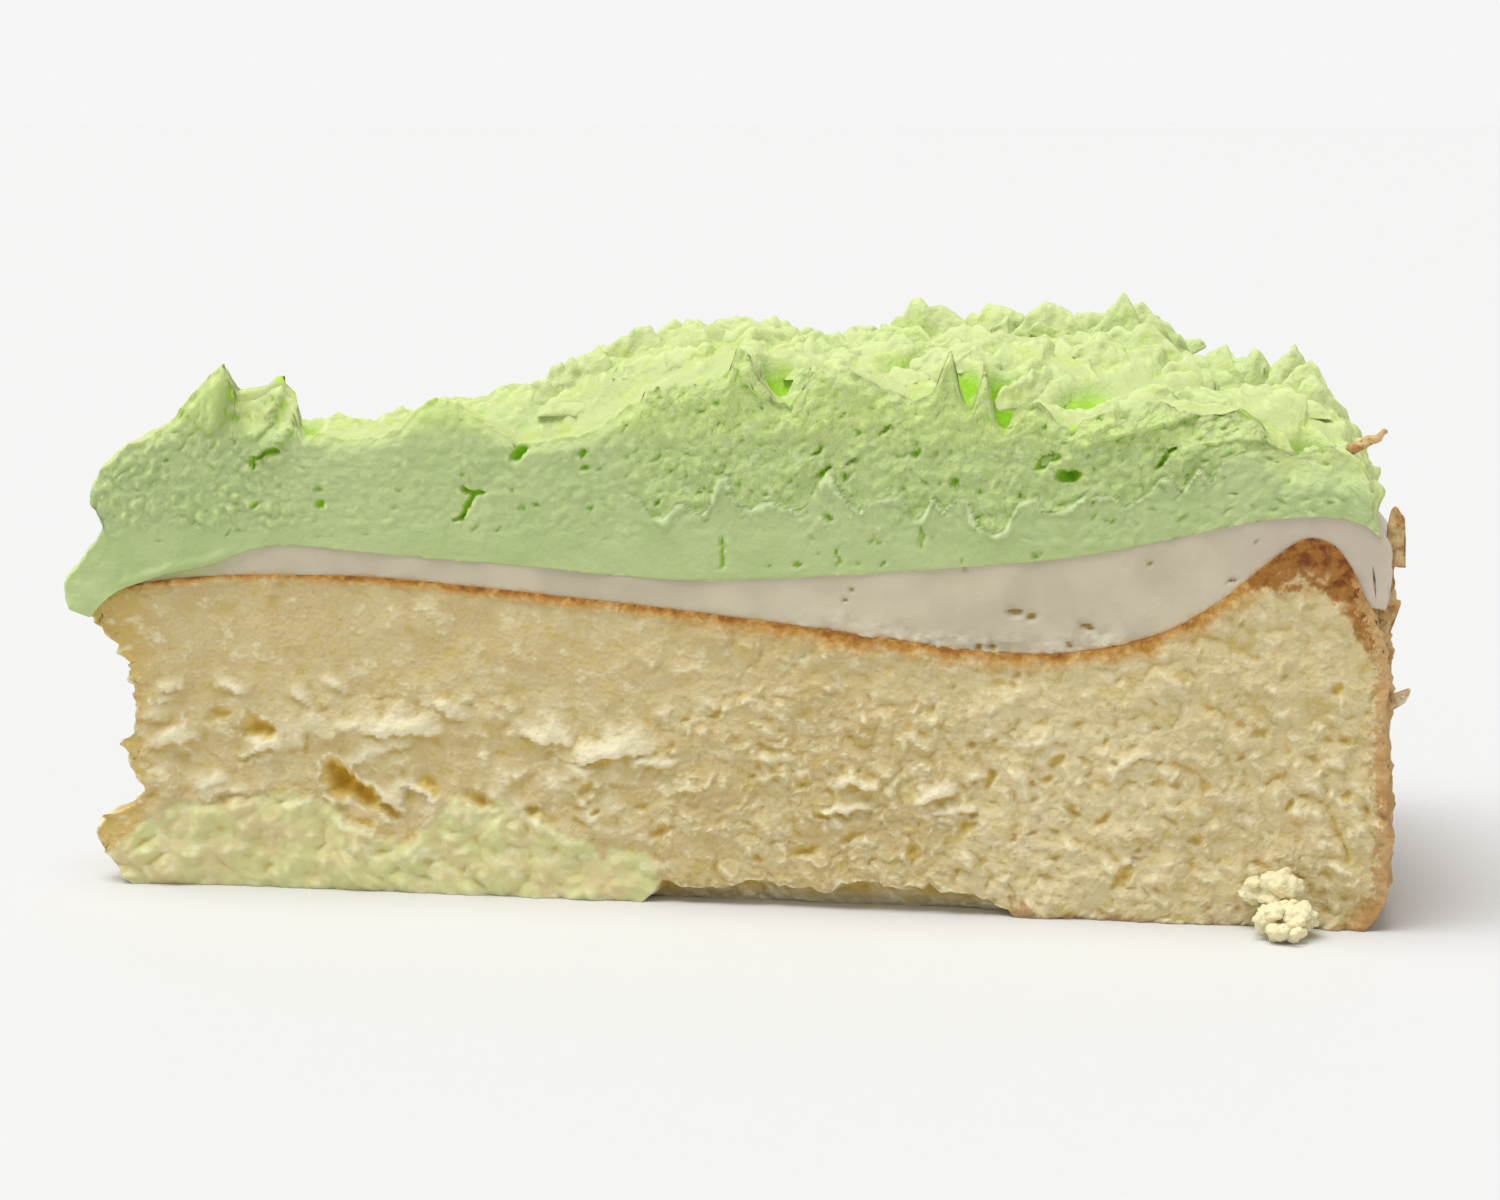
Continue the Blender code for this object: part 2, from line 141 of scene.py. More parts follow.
def billow(out, across, up, size, seed, octaves=3):
    """Rounded lumps with creases between them: how far the noise is from 0, on several sizes."""
    lumps = [
        np.abs(wander(out, across, up, size / 1.9**k, seed + k)) / 1.8**k for k in range(octaves)
    ]
    return 2 * sum(lumps) - 0.5


def hump(x):
    """1 at 0, falling smoothly to 0 at 1 and beyond: (1 - x squared) squared."""
    return np.where(np.abs(x) < 1, (1 - np.clip(x, -1, 1) ** 2) ** 2, 0.0)


def ease(x):
    """From 0 to 1 as x goes from 0 to 1, level at both ends: 3 x squared - 2 x cubed."""
    x = np.clip(x, 0, 1)
    return x * x * (3 - 2 * x)


def beside(out, up, path):
    """How far each place lies from a path of straight runs, more than 0 on its left side going
    along it, and how much of the path's length is passed there, from 0 to 1."""
    path = np.array(path, float)
    run = np.diff(path, axis=0)
    length = np.hypot(*run.T)
    passed = np.r_[0, np.cumsum(length)]
    best, side, share = (np.full(np.shape(out), value) for value in (1e9, 0.0, 0.0))
    for k, (start, step) in enumerate(zip(path, run)):
        dx, dy = out - start[0], up - start[1]
        near = np.clip((dx * step[0] + dy * step[1]) / length[k] ** 2, 0, 1)
        far = np.hypot(dx - near * step[0], dy - near * step[1])
        closer = far < best
        best = np.where(closer, far, best)
        side = np.where(closer, step[0] * dy - step[1] * dx, side)
        share = np.where(closer, (passed[k] + near * length[k]) / passed[-1], share)
    return best * np.sign(side), share


def ledges(out, up, rows):
    """Edges of overlapping layers: each path stands up on its left side and falls off again
    with the distance from it. A row is a height, a reach and the path."""
    height = np.zeros(np.shape(out))
    for stands, reach, path in rows:
        gap, share = beside(out, up, path)
        ends = ease(share / 0.15) * ease((1 - share) / 0.1 + 0.3)
        height += stands * ends * ease(gap / 0.3 + 0.3) * np.exp(-((np.maximum(gap, 0) / reach) ** 2))
    return height


def grooves(out, up, rows):
    """Cracks: each path is cut in to its depth, in a round groove of its half width."""
    depth = np.zeros(np.shape(out))
    for deep, wide, path in rows:
        gap, _ = beside(out, up, path)
        depth = np.maximum(depth, deep * hump(gap / wide))
    return -depth


def read_off(table, x):
    """The second column of a table at x in its first column, straight between the rows."""
    places, heights = np.array(table, float).T
    return np.interp(x, places, heights)


# %% [markdown]
# ## Curves on the section
# A Catmull-Rom curve passes through every station and needs no handles, so the sizes above
# are all it takes. A Bezier curve would need two more points at each station.


# %% Curves through the stations
def along(stations, t):
    """Catmull-Rom curve at station number t: a cubic through the two stations beside t."""
    line = np.array(stations, float)
    line = np.vstack([2 * line[0] - line[1], line, 2 * line[-1] - line[-2]])
    t = np.asarray(t, float)
    start = np.clip(np.floor(t).astype(int), 0, len(line) - 4)
    s = (t - start)[..., None]
    a, b, c, d = (line[start + k] for k in range(4))
    bend = (2 * a - 5 * b + 4 * c - d) * s**2 + (3 * b - a - 3 * c + d) * s**3
    return 0.5 * (2 * b + (c - a) * s + bend)


def outward(stations, t):
    """Unit normal of that curve, on its upper side: a quarter turn from its run."""
    run = along(stations, np.asarray(t) + 0.02) - along(stations, np.asarray(t) - 0.02)
    normal = np.stack([-run[..., 1], run[..., 0]], -1)
    return normal / np.linalg.norm(normal, axis=-1, keepdims=True)


def even_number(stations, first=0):
    """Turns 0 to 1 into station numbers at an even pace along the curve's length."""
    number = np.linspace(first, len(stations) - 1, 40 * len(stations))
    run = np.linalg.norm(np.diff(along(stations, number), axis=0), axis=1)
    run = np.r_[0, np.cumsum(run)]
    return lambda u: np.interp(u, run / run[-1], number)


def edge_curve(stations):
    """The curve as a function of 0 to 1 at an even pace."""
    number = even_number(stations)
    return lambda u: along(stations, number(u))


def patch(foot, top, tip, rim, u, w):
    """Coons patch: the blend of both pairs of edge curves, less the blend of the corners."""
    u, w = u[..., None], w[..., None]
    lifted = (1 - w) * foot(u[..., 0]) + w * top(u[..., 0])
    crossed = (1 - u) * tip(w[..., 0]) + u * rim(w[..., 0])
    zero, one = np.zeros(1), np.ones(1)
    corners = (1 - u) * ((1 - w) * foot(zero) + w * top(zero))
    return lifted + crossed - corners - u * ((1 - w) * foot(one) + w * top(one))


def in_slice(out, v, up, tip_half):
    """x, y, z in mm: the angle is v times half the slice's, and the tip is squashed wider."""
    angle = HALF_ANGLE * v
    squash = tip_half * np.exp(-((np.maximum(out, 0) / TIP_REACH) ** 2))
    x = out * np.cos(angle) - ORIGIN_OUT
    return np.stack([x, out * np.sin(angle) + v * squash - ORIGIN_ACROSS, up], -1)


# %% [markdown]
# ## A closed layer with a fine front
# The front cut is what one looks at, so it gets the closest grid. The back cut gets a wider
# one, and a sleeve of rows joins the two round the layer's edge. Each of the three is a grid
# of its own count, so a strip of triangles zips them together: at each step the edge that is
# behind moves on by one corner. A subdivided cube would have to be as fine everywhere.


# %% A block of three grids
def face_quads(numbers):
    """The four-cornered faces of a grid of point numbers."""
    n = numbers
    return np.stack([n[:-1, :-1], n[1:, :-1], n[1:, 1:], n[:-1, 1:]], -1).reshape(-1, 4)


def edge_steps(foot, rim, top, tip):
    """Places 0 to 4 round a patch's edge: foot, rim side, top and tip, each in even steps."""
    sides = [side + np.arange(n) / n for side, n in enumerate((foot, rim, top, tip))]
    return np.concatenate([*sides, [4.0]])


def edge_place(s):
    """(u, w) of place s on the edge: u runs out and back, and w up and down."""
    u = np.clip(s, 0, 1) - np.clip(s - 2, 0, 1)
    return u, np.clip(s - 1, 0, 1) - np.clip(s - 3, 0, 1)


def zipped(steps_a, numbers_a, steps_b, numbers_b):
    """Triangles between two edges: whichever edge's next corner comes first moves on."""
    a_moves = np.r_[np.ones(len(steps_a) - 1, bool), np.zeros(len(steps_b) - 1, bool)]
    order = np.argsort(np.r_[steps_a[1:], steps_b[1:]], kind="stable")
    a_moves = a_moves[order]
    at_a, at_b = np.cumsum(a_moves) - a_moves, np.cumsum(~a_moves) - ~a_moves
    next_a = numbers_a[np.minimum(at_a + 1, len(numbers_a) - 1)]
    next_b = numbers_b[np.minimum(at_b + 1, len(numbers_b) - 1)]
    return np.stack([numbers_a[at_a], numbers_b[at_b], np.where(a_moves, next_a, next_b)], -1)


def block(front, ring, rows, back):
    """Corners (u, v, w) and faces of a closed block: front grid, sleeve of rows, back grid."""
    corners, faces, edges, first = [], [], [], 0
    for size, v in ((front, -1.0), (back, 1.0)):
        u, w = np.meshgrid(*(np.linspace(0, 1, n + 1) for n in size), indexing="ij")
        numbers = first + np.arange(u.size).reshape(u.shape)
        corners.append(np.stack([u, np.full(u.shape, v), w], -1).reshape(-1, 3))
        faces.append(face_quads(numbers)[:, :: int(-v)])
        steps = edge_steps(size[0], size[1], size[0], size[1])
        at_u, at_w = edge_place(steps)
        rim = numbers[np.rint(at_u * size[0]).astype(int), np.rint(at_w * size[1]).astype(int)]
        edges.append((steps, rim))
        first += u.size
    steps = edge_steps(*ring)
    u, w = edge_place(steps[:-1])
    v = np.broadcast_to(np.asarray(rows)[:, None], (len(rows), len(u)))
    corners.append(np.stack([np.broadcast_to(u, v.shape), v, np.broadcast_to(w, v.shape)], -1))
    numbers = first + np.arange(v.size).reshape(v.shape)
    numbers = np.hstack([numbers, numbers[:, :1]])
    faces.append(face_quads(numbers))
    corners[-1] = corners[-1].reshape(-1, 3)
    faces.append(zipped(*edges[0], steps, numbers[0]))
    faces.append(zipped(steps, numbers[-1], *edges[1]))
    return np.vstack(corners), faces


# %% From arrays to a mesh
def make_piece(name, points, faces):
    """A smooth-shaded object of these points, in mm, and these groups of faces."""
    data = bpy.data.meshes.new(name)
    data.vertices.add(len(points))
    data.vertices.foreach_set("co", (points * MM).astype(np.float32).ravel())
    sizes = np.concatenate([np.full(len(group), group.shape[1]) for group in faces])
    data.loops.add(int(sizes.sum()))
    loops = np.concatenate([group.ravel() for group in faces])
    data.loops.foreach_set("vertex_index", loops.astype(np.int32))
    data.polygons.add(len(sizes))
    starts = np.r_[0, np.cumsum(sizes)[:-1]]
    data.polygons.foreach_set("loop_start", starts.astype(np.int32))
    data.update(calc_edges=True)
    data.shade_smooth()
    piece = bpy.data.objects.new(name, data)
    bpy.context.scene.collection.objects.link(piece)
    triangles = int((sizes - 2).sum())
    print(f"{name}: {triangles} triangles")
    return piece


def tubes(points):
    """Corners and faces of closed tubes: points has the axes tube, ring, place on the ring and
    coordinate. Both end rings are closed by a fan of triangles to their middle."""
    count, steps, around = points.shape[:3]
    numbers = np.arange(count * steps * around).reshape(count, steps, around)
    loop = np.concatenate([numbers, numbers[..., :1]], -1)
    quads = [loop[:, :-1, :-1], loop[:, :-1, 1:], loop[:, 1:, 1:], loop[:, 1:, :-1]]
    faces, middles = [np.stack(quads, -1).reshape(-1, 4)], points[:, [0, -1]].mean(2)
    for end, ring in ((0, loop[:, 0, ::-1]), (1, loop[:, -1])):
        middle = np.full(ring[:, 1:].shape, numbers.size) + 2 * np.arange(count)[:, None] + end
        faces.append(np.stack([middle, ring[:, :-1], ring[:, 1:]], -1).reshape(-1, 3))
    return np.vstack([points.reshape(-1, 3), middles.reshape(-1, 3)]), faces


def give(piece, name, values):
    """Stores one number at each corner, for the material to read."""
    layer = piece.data.attributes.new(name, "FLOAT", "POINT")
    layer.data.foreach_set("value", np.asarray(values, np.float32))


def sunken(piece, rounds):
    """How far each corner lies below its surroundings, in mm: the corner's place is averaged
    with its neighbours' for some rounds, and the way back is measured along the normal."""
    data = piece.data
    start = np.empty(len(data.vertices) * 3, np.float32)
    normal = np.empty(len(data.vertices) * 3, np.float32)
    pairs = np.empty(len(data.edges) * 2, np.int32)
    data.vertices.foreach_get("co", start)
    data.vertex_normals.foreach_get("vector", normal)
    data.edges.foreach_get("vertices", pairs)
    start, normal = start.reshape(-1, 3) / MM, normal.reshape(-1, 3)
    one, two = pairs.reshape(-1, 2).T
    ends, others = np.r_[one, two], np.r_[two, one]
    count = np.bincount(ends, minlength=len(start))[:, None]
    place, found = start.astype(float), []
    for step in range(max(rounds)):
        sums = [np.bincount(ends, place[others, k], len(start)) for k in range(3)]
        place = 0.5 * place + 0.5 * np.stack(sums, -1) / count
        if step + 1 in rounds:
            found.append(((place - start) * normal).sum(-1))
    return found


# %% [markdown]
# ## The camera
# The photograph looks at the front cut from a little above, from a bit over forty centimetres
# away. The long lens keeps the slice's lines nearly parallel, as they are in the photograph.

# %% Camera
CAMERA_TURN, CAMERA_RISE, CAMERA_AWAY = np.radians(-3.5), np.radians(7.5), 420.0
LOOKED_AT = Vector((2.76, 3.4, 27.48))
away = Vector((
    np.sin(CAMERA_TURN) * np.cos(CAMERA_RISE),
    -np.cos(CAMERA_TURN) * np.cos(CAMERA_RISE),
    np.sin(CAMERA_RISE),
))  # fmt: skip
camera = bpy.data.objects.new("camera", bpy.data.cameras.new("camera"))
camera.data.sensor_width, camera.data.lens = 36.0, 101.1
camera.data.clip_start = 0.01
camera.location = (LOOKED_AT + away * CAMERA_AWAY) * MM
camera.rotation_euler = away.to_track_quat("Z", "Y").to_euler()
bpy.context.scene.collection.objects.link(camera)
bpy.context.scene.camera = camera
print("camera at", [round(place, 3) for place in camera.location])

# %% [markdown]
# ## Light and floor
# The photograph has soft light from all round and more of it from above, so that the top is
# about half as bright again as the cut. A bright sky that dims overhead gives the first, and
# one soft lamp high on the left the second. The floor is a plain pale sheet.


# %% A sky, a lamp and a sheet
def soft_sky(low, high):
    """A white sky, brightest at the horizon: its strength is blended by the height looked at."""
    world = bpy.data.worlds.new("soft_sky")
    world.use_nodes = True
    nodes, links = world.node_tree.nodes, world.node_tree.links
    place = nodes.new("ShaderNodeTexCoord")
    split = nodes.new("ShaderNodeSeparateXYZ")
    reach = nodes.new("ShaderNodeMapRange")
    reach.inputs["From Min"].default_value, reach.inputs["From Max"].default_value = 0.0, 0.7
    reach.inputs["To Min"].default_value, reach.inputs["To Max"].default_value = low, high
    links.new(place.outputs["Generated"], split.inputs["Vector"])
    links.new(split.outputs["Z"], reach.inputs["Value"])
    links.new(reach.outputs["Result"], nodes["Background"].inputs["Strength"])
    nodes["Background"].inputs["Color"].default_value = (1, 1, 1, 1)
    bpy.context.scene.world = world


def skylight(name, place, spread, power):
    """Even light from this direction, as soft as a bright patch of sky this many degrees wide."""
    light = bpy.data.lights.new(name, "SUN")
    light.angle, light.energy = np.radians(spread), power
    thing = bpy.data.objects.new(name, light)
    thing.rotation_euler = Vector(place).to_track_quat("Z", "Y").to_euler()
    bpy.context.scene.collection.objects.link(thing)


soft_sky(0.92, 0.35)
skylight("window", (-0.30, -0.12, 1.0), 50, 2.95)
bpy.context.scene.view_settings.view_transform = "Standard"

# %% Floor
sheet = bpy.data.meshes.new("floor")
sheet.from_pydata([(-4, -4, 0), (4, -4, 0), (4, 4, 0), (-4, 4, 0)], [], [(0, 1, 2, 3)])
floor = bpy.data.objects.new("floor", sheet)
bpy.context.scene.collection.objects.link(floor)
pale_sheet = bpy.data.materials.new("pale_floor")
pale_sheet.use_nodes = True
sheet_shader = pale_sheet.node_tree.nodes["Principled BSDF"]
sheet_shader.inputs["Base Color"].default_value = (0.70, 0.70, 0.695, 1)
sheet_shader.inputs["Roughness"].default_value = 0.7
sheet.materials.append(pale_sheet)

# %% [markdown]
# ## Paint for food
# Each material is mixed from a few layers of colour. What decides between them is worked out on
# the surface itself, such as how deep a corner lies in a crease, which places painted shade and
# painted highlights, or comes from noise in the object's own coordinates, so that it stays where
# it is from every side. The small class below only makes the nodes and joins them.


# %% A short way to make nodes
class Paint:
    """A material whose surface is one Principled shader. Sizes of noise are in millimetres."""

    def __init__(self, name, roughness, scatter, scatter_mm, reach, shine=0.35):
        self.material = bpy.data.materials.new(name)
        self.material.use_nodes = True
        self.tree = self.material.node_tree
        self.surface = self.tree.nodes["Principled BSDF"]
        self.place = self.tree.nodes.new("ShaderNodeTexCoord").outputs["Object"]
        socket = self.surface.inputs
        socket["Roughness"].default_value = roughness
        socket["Subsurface Weight"].default_value = scatter
        socket["Subsurface Scale"].default_value = scatter_mm * MM
        socket["Subsurface Radius"].default_value = reach
        socket["Specular IOR Level"].default_value = shine

    def put(self, socket, value):
        """Links a node's output to a socket, or sets the socket to a number or colour."""
        if isinstance(value, bpy.types.NodeSocket):
            self.tree.links.new(value, socket)
        else:
            socket.default_value = value

    def stored(self, name):
        """A number stored on the piece."""
        node = self.tree.nodes.new("ShaderNodeAttribute")
        node.attribute_name = name
        return node.outputs["Fac"]

    def noise(self, size, detail=3.0, stretch=None, roughness=0.55):
        """Noise of about 0 to 1 with lumps of this size."""
        node = self.tree.nodes.new("ShaderNodeTexNoise")
        node.inputs["Scale"].default_value = 1 / (size * MM)
        node.inputs["Detail"].default_value = detail
        node.inputs["Roughness"].default_value = roughness
        self.put(node.inputs["Vector"], self.stretched(stretch) if stretch else self.place)
        return node.outputs["Fac"]

    def stretched(self, factors):
        """The object's coordinates, squeezed by these factors."""
        node = self.tree.nodes.new("ShaderNodeMapping")
        node.inputs["Scale"].default_value = factors
        self.put(node.inputs["Vector"], self.place)
        return node.outputs["Vector"]

    def cells(self, size):
        """Distance to the nearest of scattered seeds about this size apart, of 0 to about 1."""
        node = self.tree.nodes.new("ShaderNodeTexVoronoi")
        node.inputs["Scale"].default_value = 1 / (size * MM)
        self.put(node.inputs["Vector"], self.place)
        return node.outputs["Distance"]

    def sum(self, a, b, operation="ADD"):
        """Two numbers taken together."""
        node = self.tree.nodes.new("ShaderNodeMath")
        node.operation = operation
        self.put(node.inputs[0], a)
        self.put(node.inputs[1], b)
        return node.outputs[0]

    def share(self, value, low, high, at_low=0.0, at_high=1.0):
        """How far a number has come from low to high, as a smooth share between two limits."""
        node = self.tree.nodes.new("ShaderNodeMapRange")
        node.interpolation_type = "SMOOTHSTEP"
        names = ("From Min", "From Max", "To Min", "To Max")
        for name, limit in zip(names, (low, high, at_low, at_high)):
            node.inputs[name].default_value = limit
        self.put(node.inputs["Value"], value)
        return node.outputs["Result"]

    def blend(self, under, over, share):
        """One colour laid over another by a share."""
        node = self.tree.nodes.new("ShaderNodeMix")
        node.data_type = "RGBA"
        self.put(node.inputs["Factor"], share)
        self.put(node.inputs[6], under if isinstance(under, bpy.types.NodeSocket) else (*under, 1))
        self.put(node.inputs[7], over if isinstance(over, bpy.types.NodeSocket) else (*over, 1))
        return node.outputs[2]

    def bumps(self, height, depth_mm):
        """Fine relief in the shading: height times a depth, in mm."""
        node = self.tree.nodes.new("ShaderNodeBump")
        node.inputs["Strength"].default_value = 1.0
        node.inputs["Distance"].default_value = depth_mm * MM
        self.put(node.inputs["Height"], height)
        self.put(self.surface.inputs["Normal"], node.outputs["Normal"])

    def finish(self, colour):
        """Puts the mixed colour on the surface."""
        self.put(self.surface.inputs["Base Color"], colour)
        return self.material


def serve(piece, material, node):
    """Gives a piece its material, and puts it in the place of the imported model's node."""
    piece.data.materials.append(material)
    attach(piece, "root")
    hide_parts(node)


# %% [markdown]
# ## The baked cake: its relief
# A knife tears a sponge as much as it cuts it. Near the top the crumb is fine and even. Lower
# down it is doughy: flaps of it are dragged along and hang over small hollows. Towards the
# rim it is coarse and dotted with holes. The relief is measured outwards from the cut, and
# built up from grains, streaks, flaps, hollows and a smear of frosting at the foot.

# %% Hollows, flaps and the smear, measured on the front cut
# Hollows: distance out, height, half length, half height, slant, depth.
HOLLOWS = [
    (25.3, 11.1, 1.7, 1.8, -0.3, 2.4), (27.6, 9.6, 2.3, 1.1, -0.45, 2.0), (30.2, 8.2, 1.5, 0.7, -0.4, 1.2),
    (17.3, 15.9, 1.5, 1.1, -0.3, 1.4), (13.2, 17.4, 1.1, 0.6, 0.0, 0.7),
    (34.6, 10.9, 1.0, 0.9, -0.2, 1.0), (40.2, 9.2, 1.9, 0.9, -0.35, 1.0),
    (45.1, 8.4, 0.9, 0.7, 0.1, 0.9), (50.6, 11.1, 0.9, 0.45, 0.2, 0.7),
    (51.5, 8.6, 0.5, 0.4, 0.0, 0.5), (56.2, 9.4, 0.7, 0.5, 0.0, 0.6),
    (57.8, 6.9, 1.1, 0.7, 0.3, 0.9), (58.8, 15.3, 0.5, 0.4, 0.0, 0.5),
    (60.3, 17.8, 0.6, 0.4, 0.3, 0.5), (63.3, 18.7, 0.7, 0.4, 0.2, 0.6),
    (66.1, 20.6, 0.5, 0.35, 0.0, 0.4), (69.8, 17.2, 0.5, 0.4, 0.0, 0.5),
    (66.8, 12.7, 0.5, 0.4, 0.0, 0.5), (71.7, 12.2, 0.9, 0.5, 0.3, 0.8),
    (73.7, 9.2, 1.0, 0.55, -0.3, 0.8), (72.0, 5.6, 1.5, 0.7, 0.2, 0.9),
    (67.7, 4.7, 0.7, 0.5, 0.0, 0.6), (89.6, 13.2, 0.7, 0.9, 0.5, 0.8),
    (96.3, 15.1, 0.8, 0.6, 0.5, 0.7), (95.1, 13.5, 0.6, 0.6, 0.0, 0.6),
    (87.7, 8.4, 1.0, 0.6, 0.4, 0.8), (82.5, 5.7, 0.8, 0.9, 0.5, 0.8),
    (76.5, 7.1, 1.2, 0.6, 0.4, 0.8), (100.7, 9.7, 0.7, 0.6, 0.4, 0.7),
    (100.9, 17.1, 0.5, 0.4, 0.0, 0.4), (97.5, 10.9, 0.5, 0.5, 0.0, 0.5),
    (102.8, 4.4, 1.1, 0.8, 0.5, 0.9), (122.5, 23.0, 0.6, 0.5, 0.0, 0.6),
    (115.5, 18.5, 0.7, 0.5, 0.4, 0.6), (110.2, 13.2, 0.6, 0.7, 0.0, 0.6),
    (118.1, 11.7, 0.7, 0.6, 0.3, 0.6), (109.6, 8.1, 0.8, 0.7, 0.5, 0.7),
    (118.6, 4.5, 0.9, 0.7, 0.3, 0.7), (123.4, 12.8, 0.6, 0.8, 0.0, 0.6),
]  # fmt: skip
# Flaps: distance out, height of the hanging edge, half length, how tall, slant, height.
FLAPS = [
    (31.7, 15.6, 5.4, 3.6, 0.05, 1.0), (36.3, 18.0, 3.4, 1.8, -0.2, 0.6),
    (18.0, 13.6, 3.2, 2.2, 0.25, 0.9), (25.1, 11.9, 1.8, 1.8, -0.5, 0.7),
    (12.7, 9.9, 2.6, 2.4, 0.15, 0.7), (21.8, 18.8, 1.6, 2.4, -0.6, 0.6),
    (25.4, 20.0, 1.8, 1.4, -0.3, 0.5), (38.6, 18.6, 1.9, 1.2, -0.1, 0.5),
    (46.5, 15.4, 4.2, 3.4, -0.12, 0.9), (53.0, 14.0, 5.2, 3.8, 0.16, 1.1),
    (49.0, 11.9, 3.6, 1.6, 0.2, 0.6), (57.2, 13.4, 3.4, 1.4, 0.1, 0.7),
    (76.7, 11.9, 3.2, 2.0, 0.02, 0.9), (84.8, 11.2, 2.9, 2.2, 0.3, 1.0),
    (75.7, 9.4, 4.2, 1.4, 0.1, 0.8), (86.7, 9.9, 3.2, 1.2, 0.05, 0.6),
    (69.0, 14.2, 3.8, 1.4, 0.0, 0.5), (95.0, 17.0, 3.4, 1.4, 0.2, 0.5),
    (103.1, 14.9, 2.6, 1.6, 0.5, 0.6), (60.6, 11.0, 3.0, 1.4, 0.1, 0.6),
    (9.0, 14.2, 2.8, 2.4, 0.2, 0.8), (14.6, 19.6, 2.6, 2.0, -0.2, 0.7),
    (8.4, 19.4, 2.2, 1.8, 0.1, 0.6), (33.4, 9.8, 3.0, 2.4, -0.3, 0.8),
]  # fmt: skip
SMEAR_EDGE = [
    (2.0, 3.0), (4.6, 5.2), (5.8, 6.9), (9.0, 7.9), (11.1, 8.5), (14.0, 7.9), (16.3, 8.4),
    (18.4, 9.3), (20.4, 9.6), (22.4, 8.6), (24.5, 8.8), (26.2, 6.6), (28.0, 6.2), (29.6, 5.4),
    (31.6, 5.0), (33.6, 5.8), (35.7, 8.4), (37.6, 9.5), (40.0, 8.6), (41.7, 9.3), (43.4, 8.2),
    (45.6, 8.4), (47.7, 6.4), (50.6, 6.0), (52.0, 4.4), (54.4, 5.0), (56.2, 4.8), (57.6, 3.2),
    (58.6, 1.4), (59.4, 0.0),
]  # fmt: skip
CRUST_THICKNESS = [
    (0, 0.7), (20, 0.7), (40, 0.9), (60, 1.2), (75, 1.6), (100, 1.7), (112, 2.2), (118, 3.4),
    (124, 4.4),
]  # fmt: skip
CHIP = [
    (56.0, 0.0), (56.9, 1.0), (58.2, 2.3), (60.0, 1.7), (61.6, 1.6), (64.0, 2.0), (67.6, 2.7),
    (70.0, 2.2), (71.5, 2.0), (74.4, 1.7), (75.6, 2.6), (77.3, 2.9), (81.0, 2.6), (85.1, 2.7),
    (87.0, 2.0), (88.5, 2.0), (90.6, 1.2), (92.3, 0.2), (93.0, 0.0),
]  # fmt: skip


# %% Relief of a cut sponge
def scattered_flaps(count, seed):
    """Small flaps in rows like those of FLAPS, at seeded places all over the cut."""
    dice = np.random.default_rng(seed)
    out, up = dice.uniform(5, 124, count), dice.uniform(1.5, 29, count)
    size = dice.uniform(0.5, 1.0, count) * np.where(up > 21, 0.6, 1.0)
    slant = dice.normal(0.0, 0.18, count)
    return np.stack([out, up, 2.2 * size, 1.1 * size, slant, 0.32 * size], -1)


def flap_relief(out, up, flaps):
    """Each flap swells downwards to a torn lower edge, where it ends in one short step."""
    height = np.zeros(np.broadcast(out, up).shape)
    for flap_out, edge, length, tall, slant, stands in flaps:
        aside = (out - flap_out) / length
        above = up - edge - slant * (out - flap_out) - 0.5 * hump(aside) * 0.4
        near = (np.abs(aside) < 1) & (above > -0.5) & (above < tall)
        rise = hump(aside[near]) ** 0.6 * ease(1 - np.clip(above[near] / tall, 0, 1))
        rise = rise * ease((above[near] + 0.4) / 0.5) * stands
        height[near] = np.maximum(height[near], rise)
    return height


def hollow_relief(out, up, hollows):
    """Oval hollows with a steep upper wall: a hump in slanted, squeezed coordinates."""
    depth = np.zeros(np.broadcast(out, up).shape)
    for hole_out, hole_up, length, tall, slant, deep in hollows:
        aside, above = out - hole_out, up - hole_up
        above = above - slant * aside
        inside = hump(np.hypot(aside / length, above / tall) / 1.25)
        depth = np.maximum(depth, deep * inside**0.8)
    return -depth


def smear_cover(out, up):
    """1 where frosting is smeared over the foot of the front cut, 0 clear of it: below a
    ragged edge, and thinner where the cake shows through between its two dabs."""
    ragged = 0.9 * rough(out, 0, up, 2.6, 211)
    cover = ease((read_off(SMEAR_EDGE, out) + ragged - up) / 1.5 + 0.5) * ease((59 - out) / 3)
    bare = 0.8 * hump(np.hypot((out - 31.5) / 6.5, (up - 4.2) / 4.6))
    return cover * ease((1.05 - bare - 0.6 * wander(out, 0, up, 3.4, 217)) / 0.5)


def sponge_relief(out, across, up, seed):
    """Crumb: soft lumps, rounded grains of two sizes, some of them proud, and pores. It is
    coarser towards the rim, and fine and even under the crust."""
    coarse = 0.45 + 0.55 * ease((out - 44) / 30)
    coarse = coarse * (0.75 + 0.25 * ease((24 - up) / 8))
    warp = 0.5 * wander(out, across, up, 1.8, seed + 8)
    x, y, z = out / 1.15 + warp, across / 1.15, up + 0.1 * out - warp
    lumps = billow(x, y, z, 3.0, seed, 3)
    large, number = grains(x, y, z, 1.7, seed + 1)
    small, _ = grains(x + warp, y, z, 0.85, seed + 2)
    proud = np.where(number > 0.72, 0.3 * hump(large / 0.75), 0)
    pores = np.where(number < 0.2, 0.55 * hump(large / 0.42), 0) * ease((out - 40) / 30)
    torn = 0.36 * lumps + 0.3 * (0.55 - large) + 0.22 * (0.5 - small) + proud - pores
    return coarse * torn + 0.4 * wander(out / 1.6, across / 1.6, up, 5.0, seed + 6)


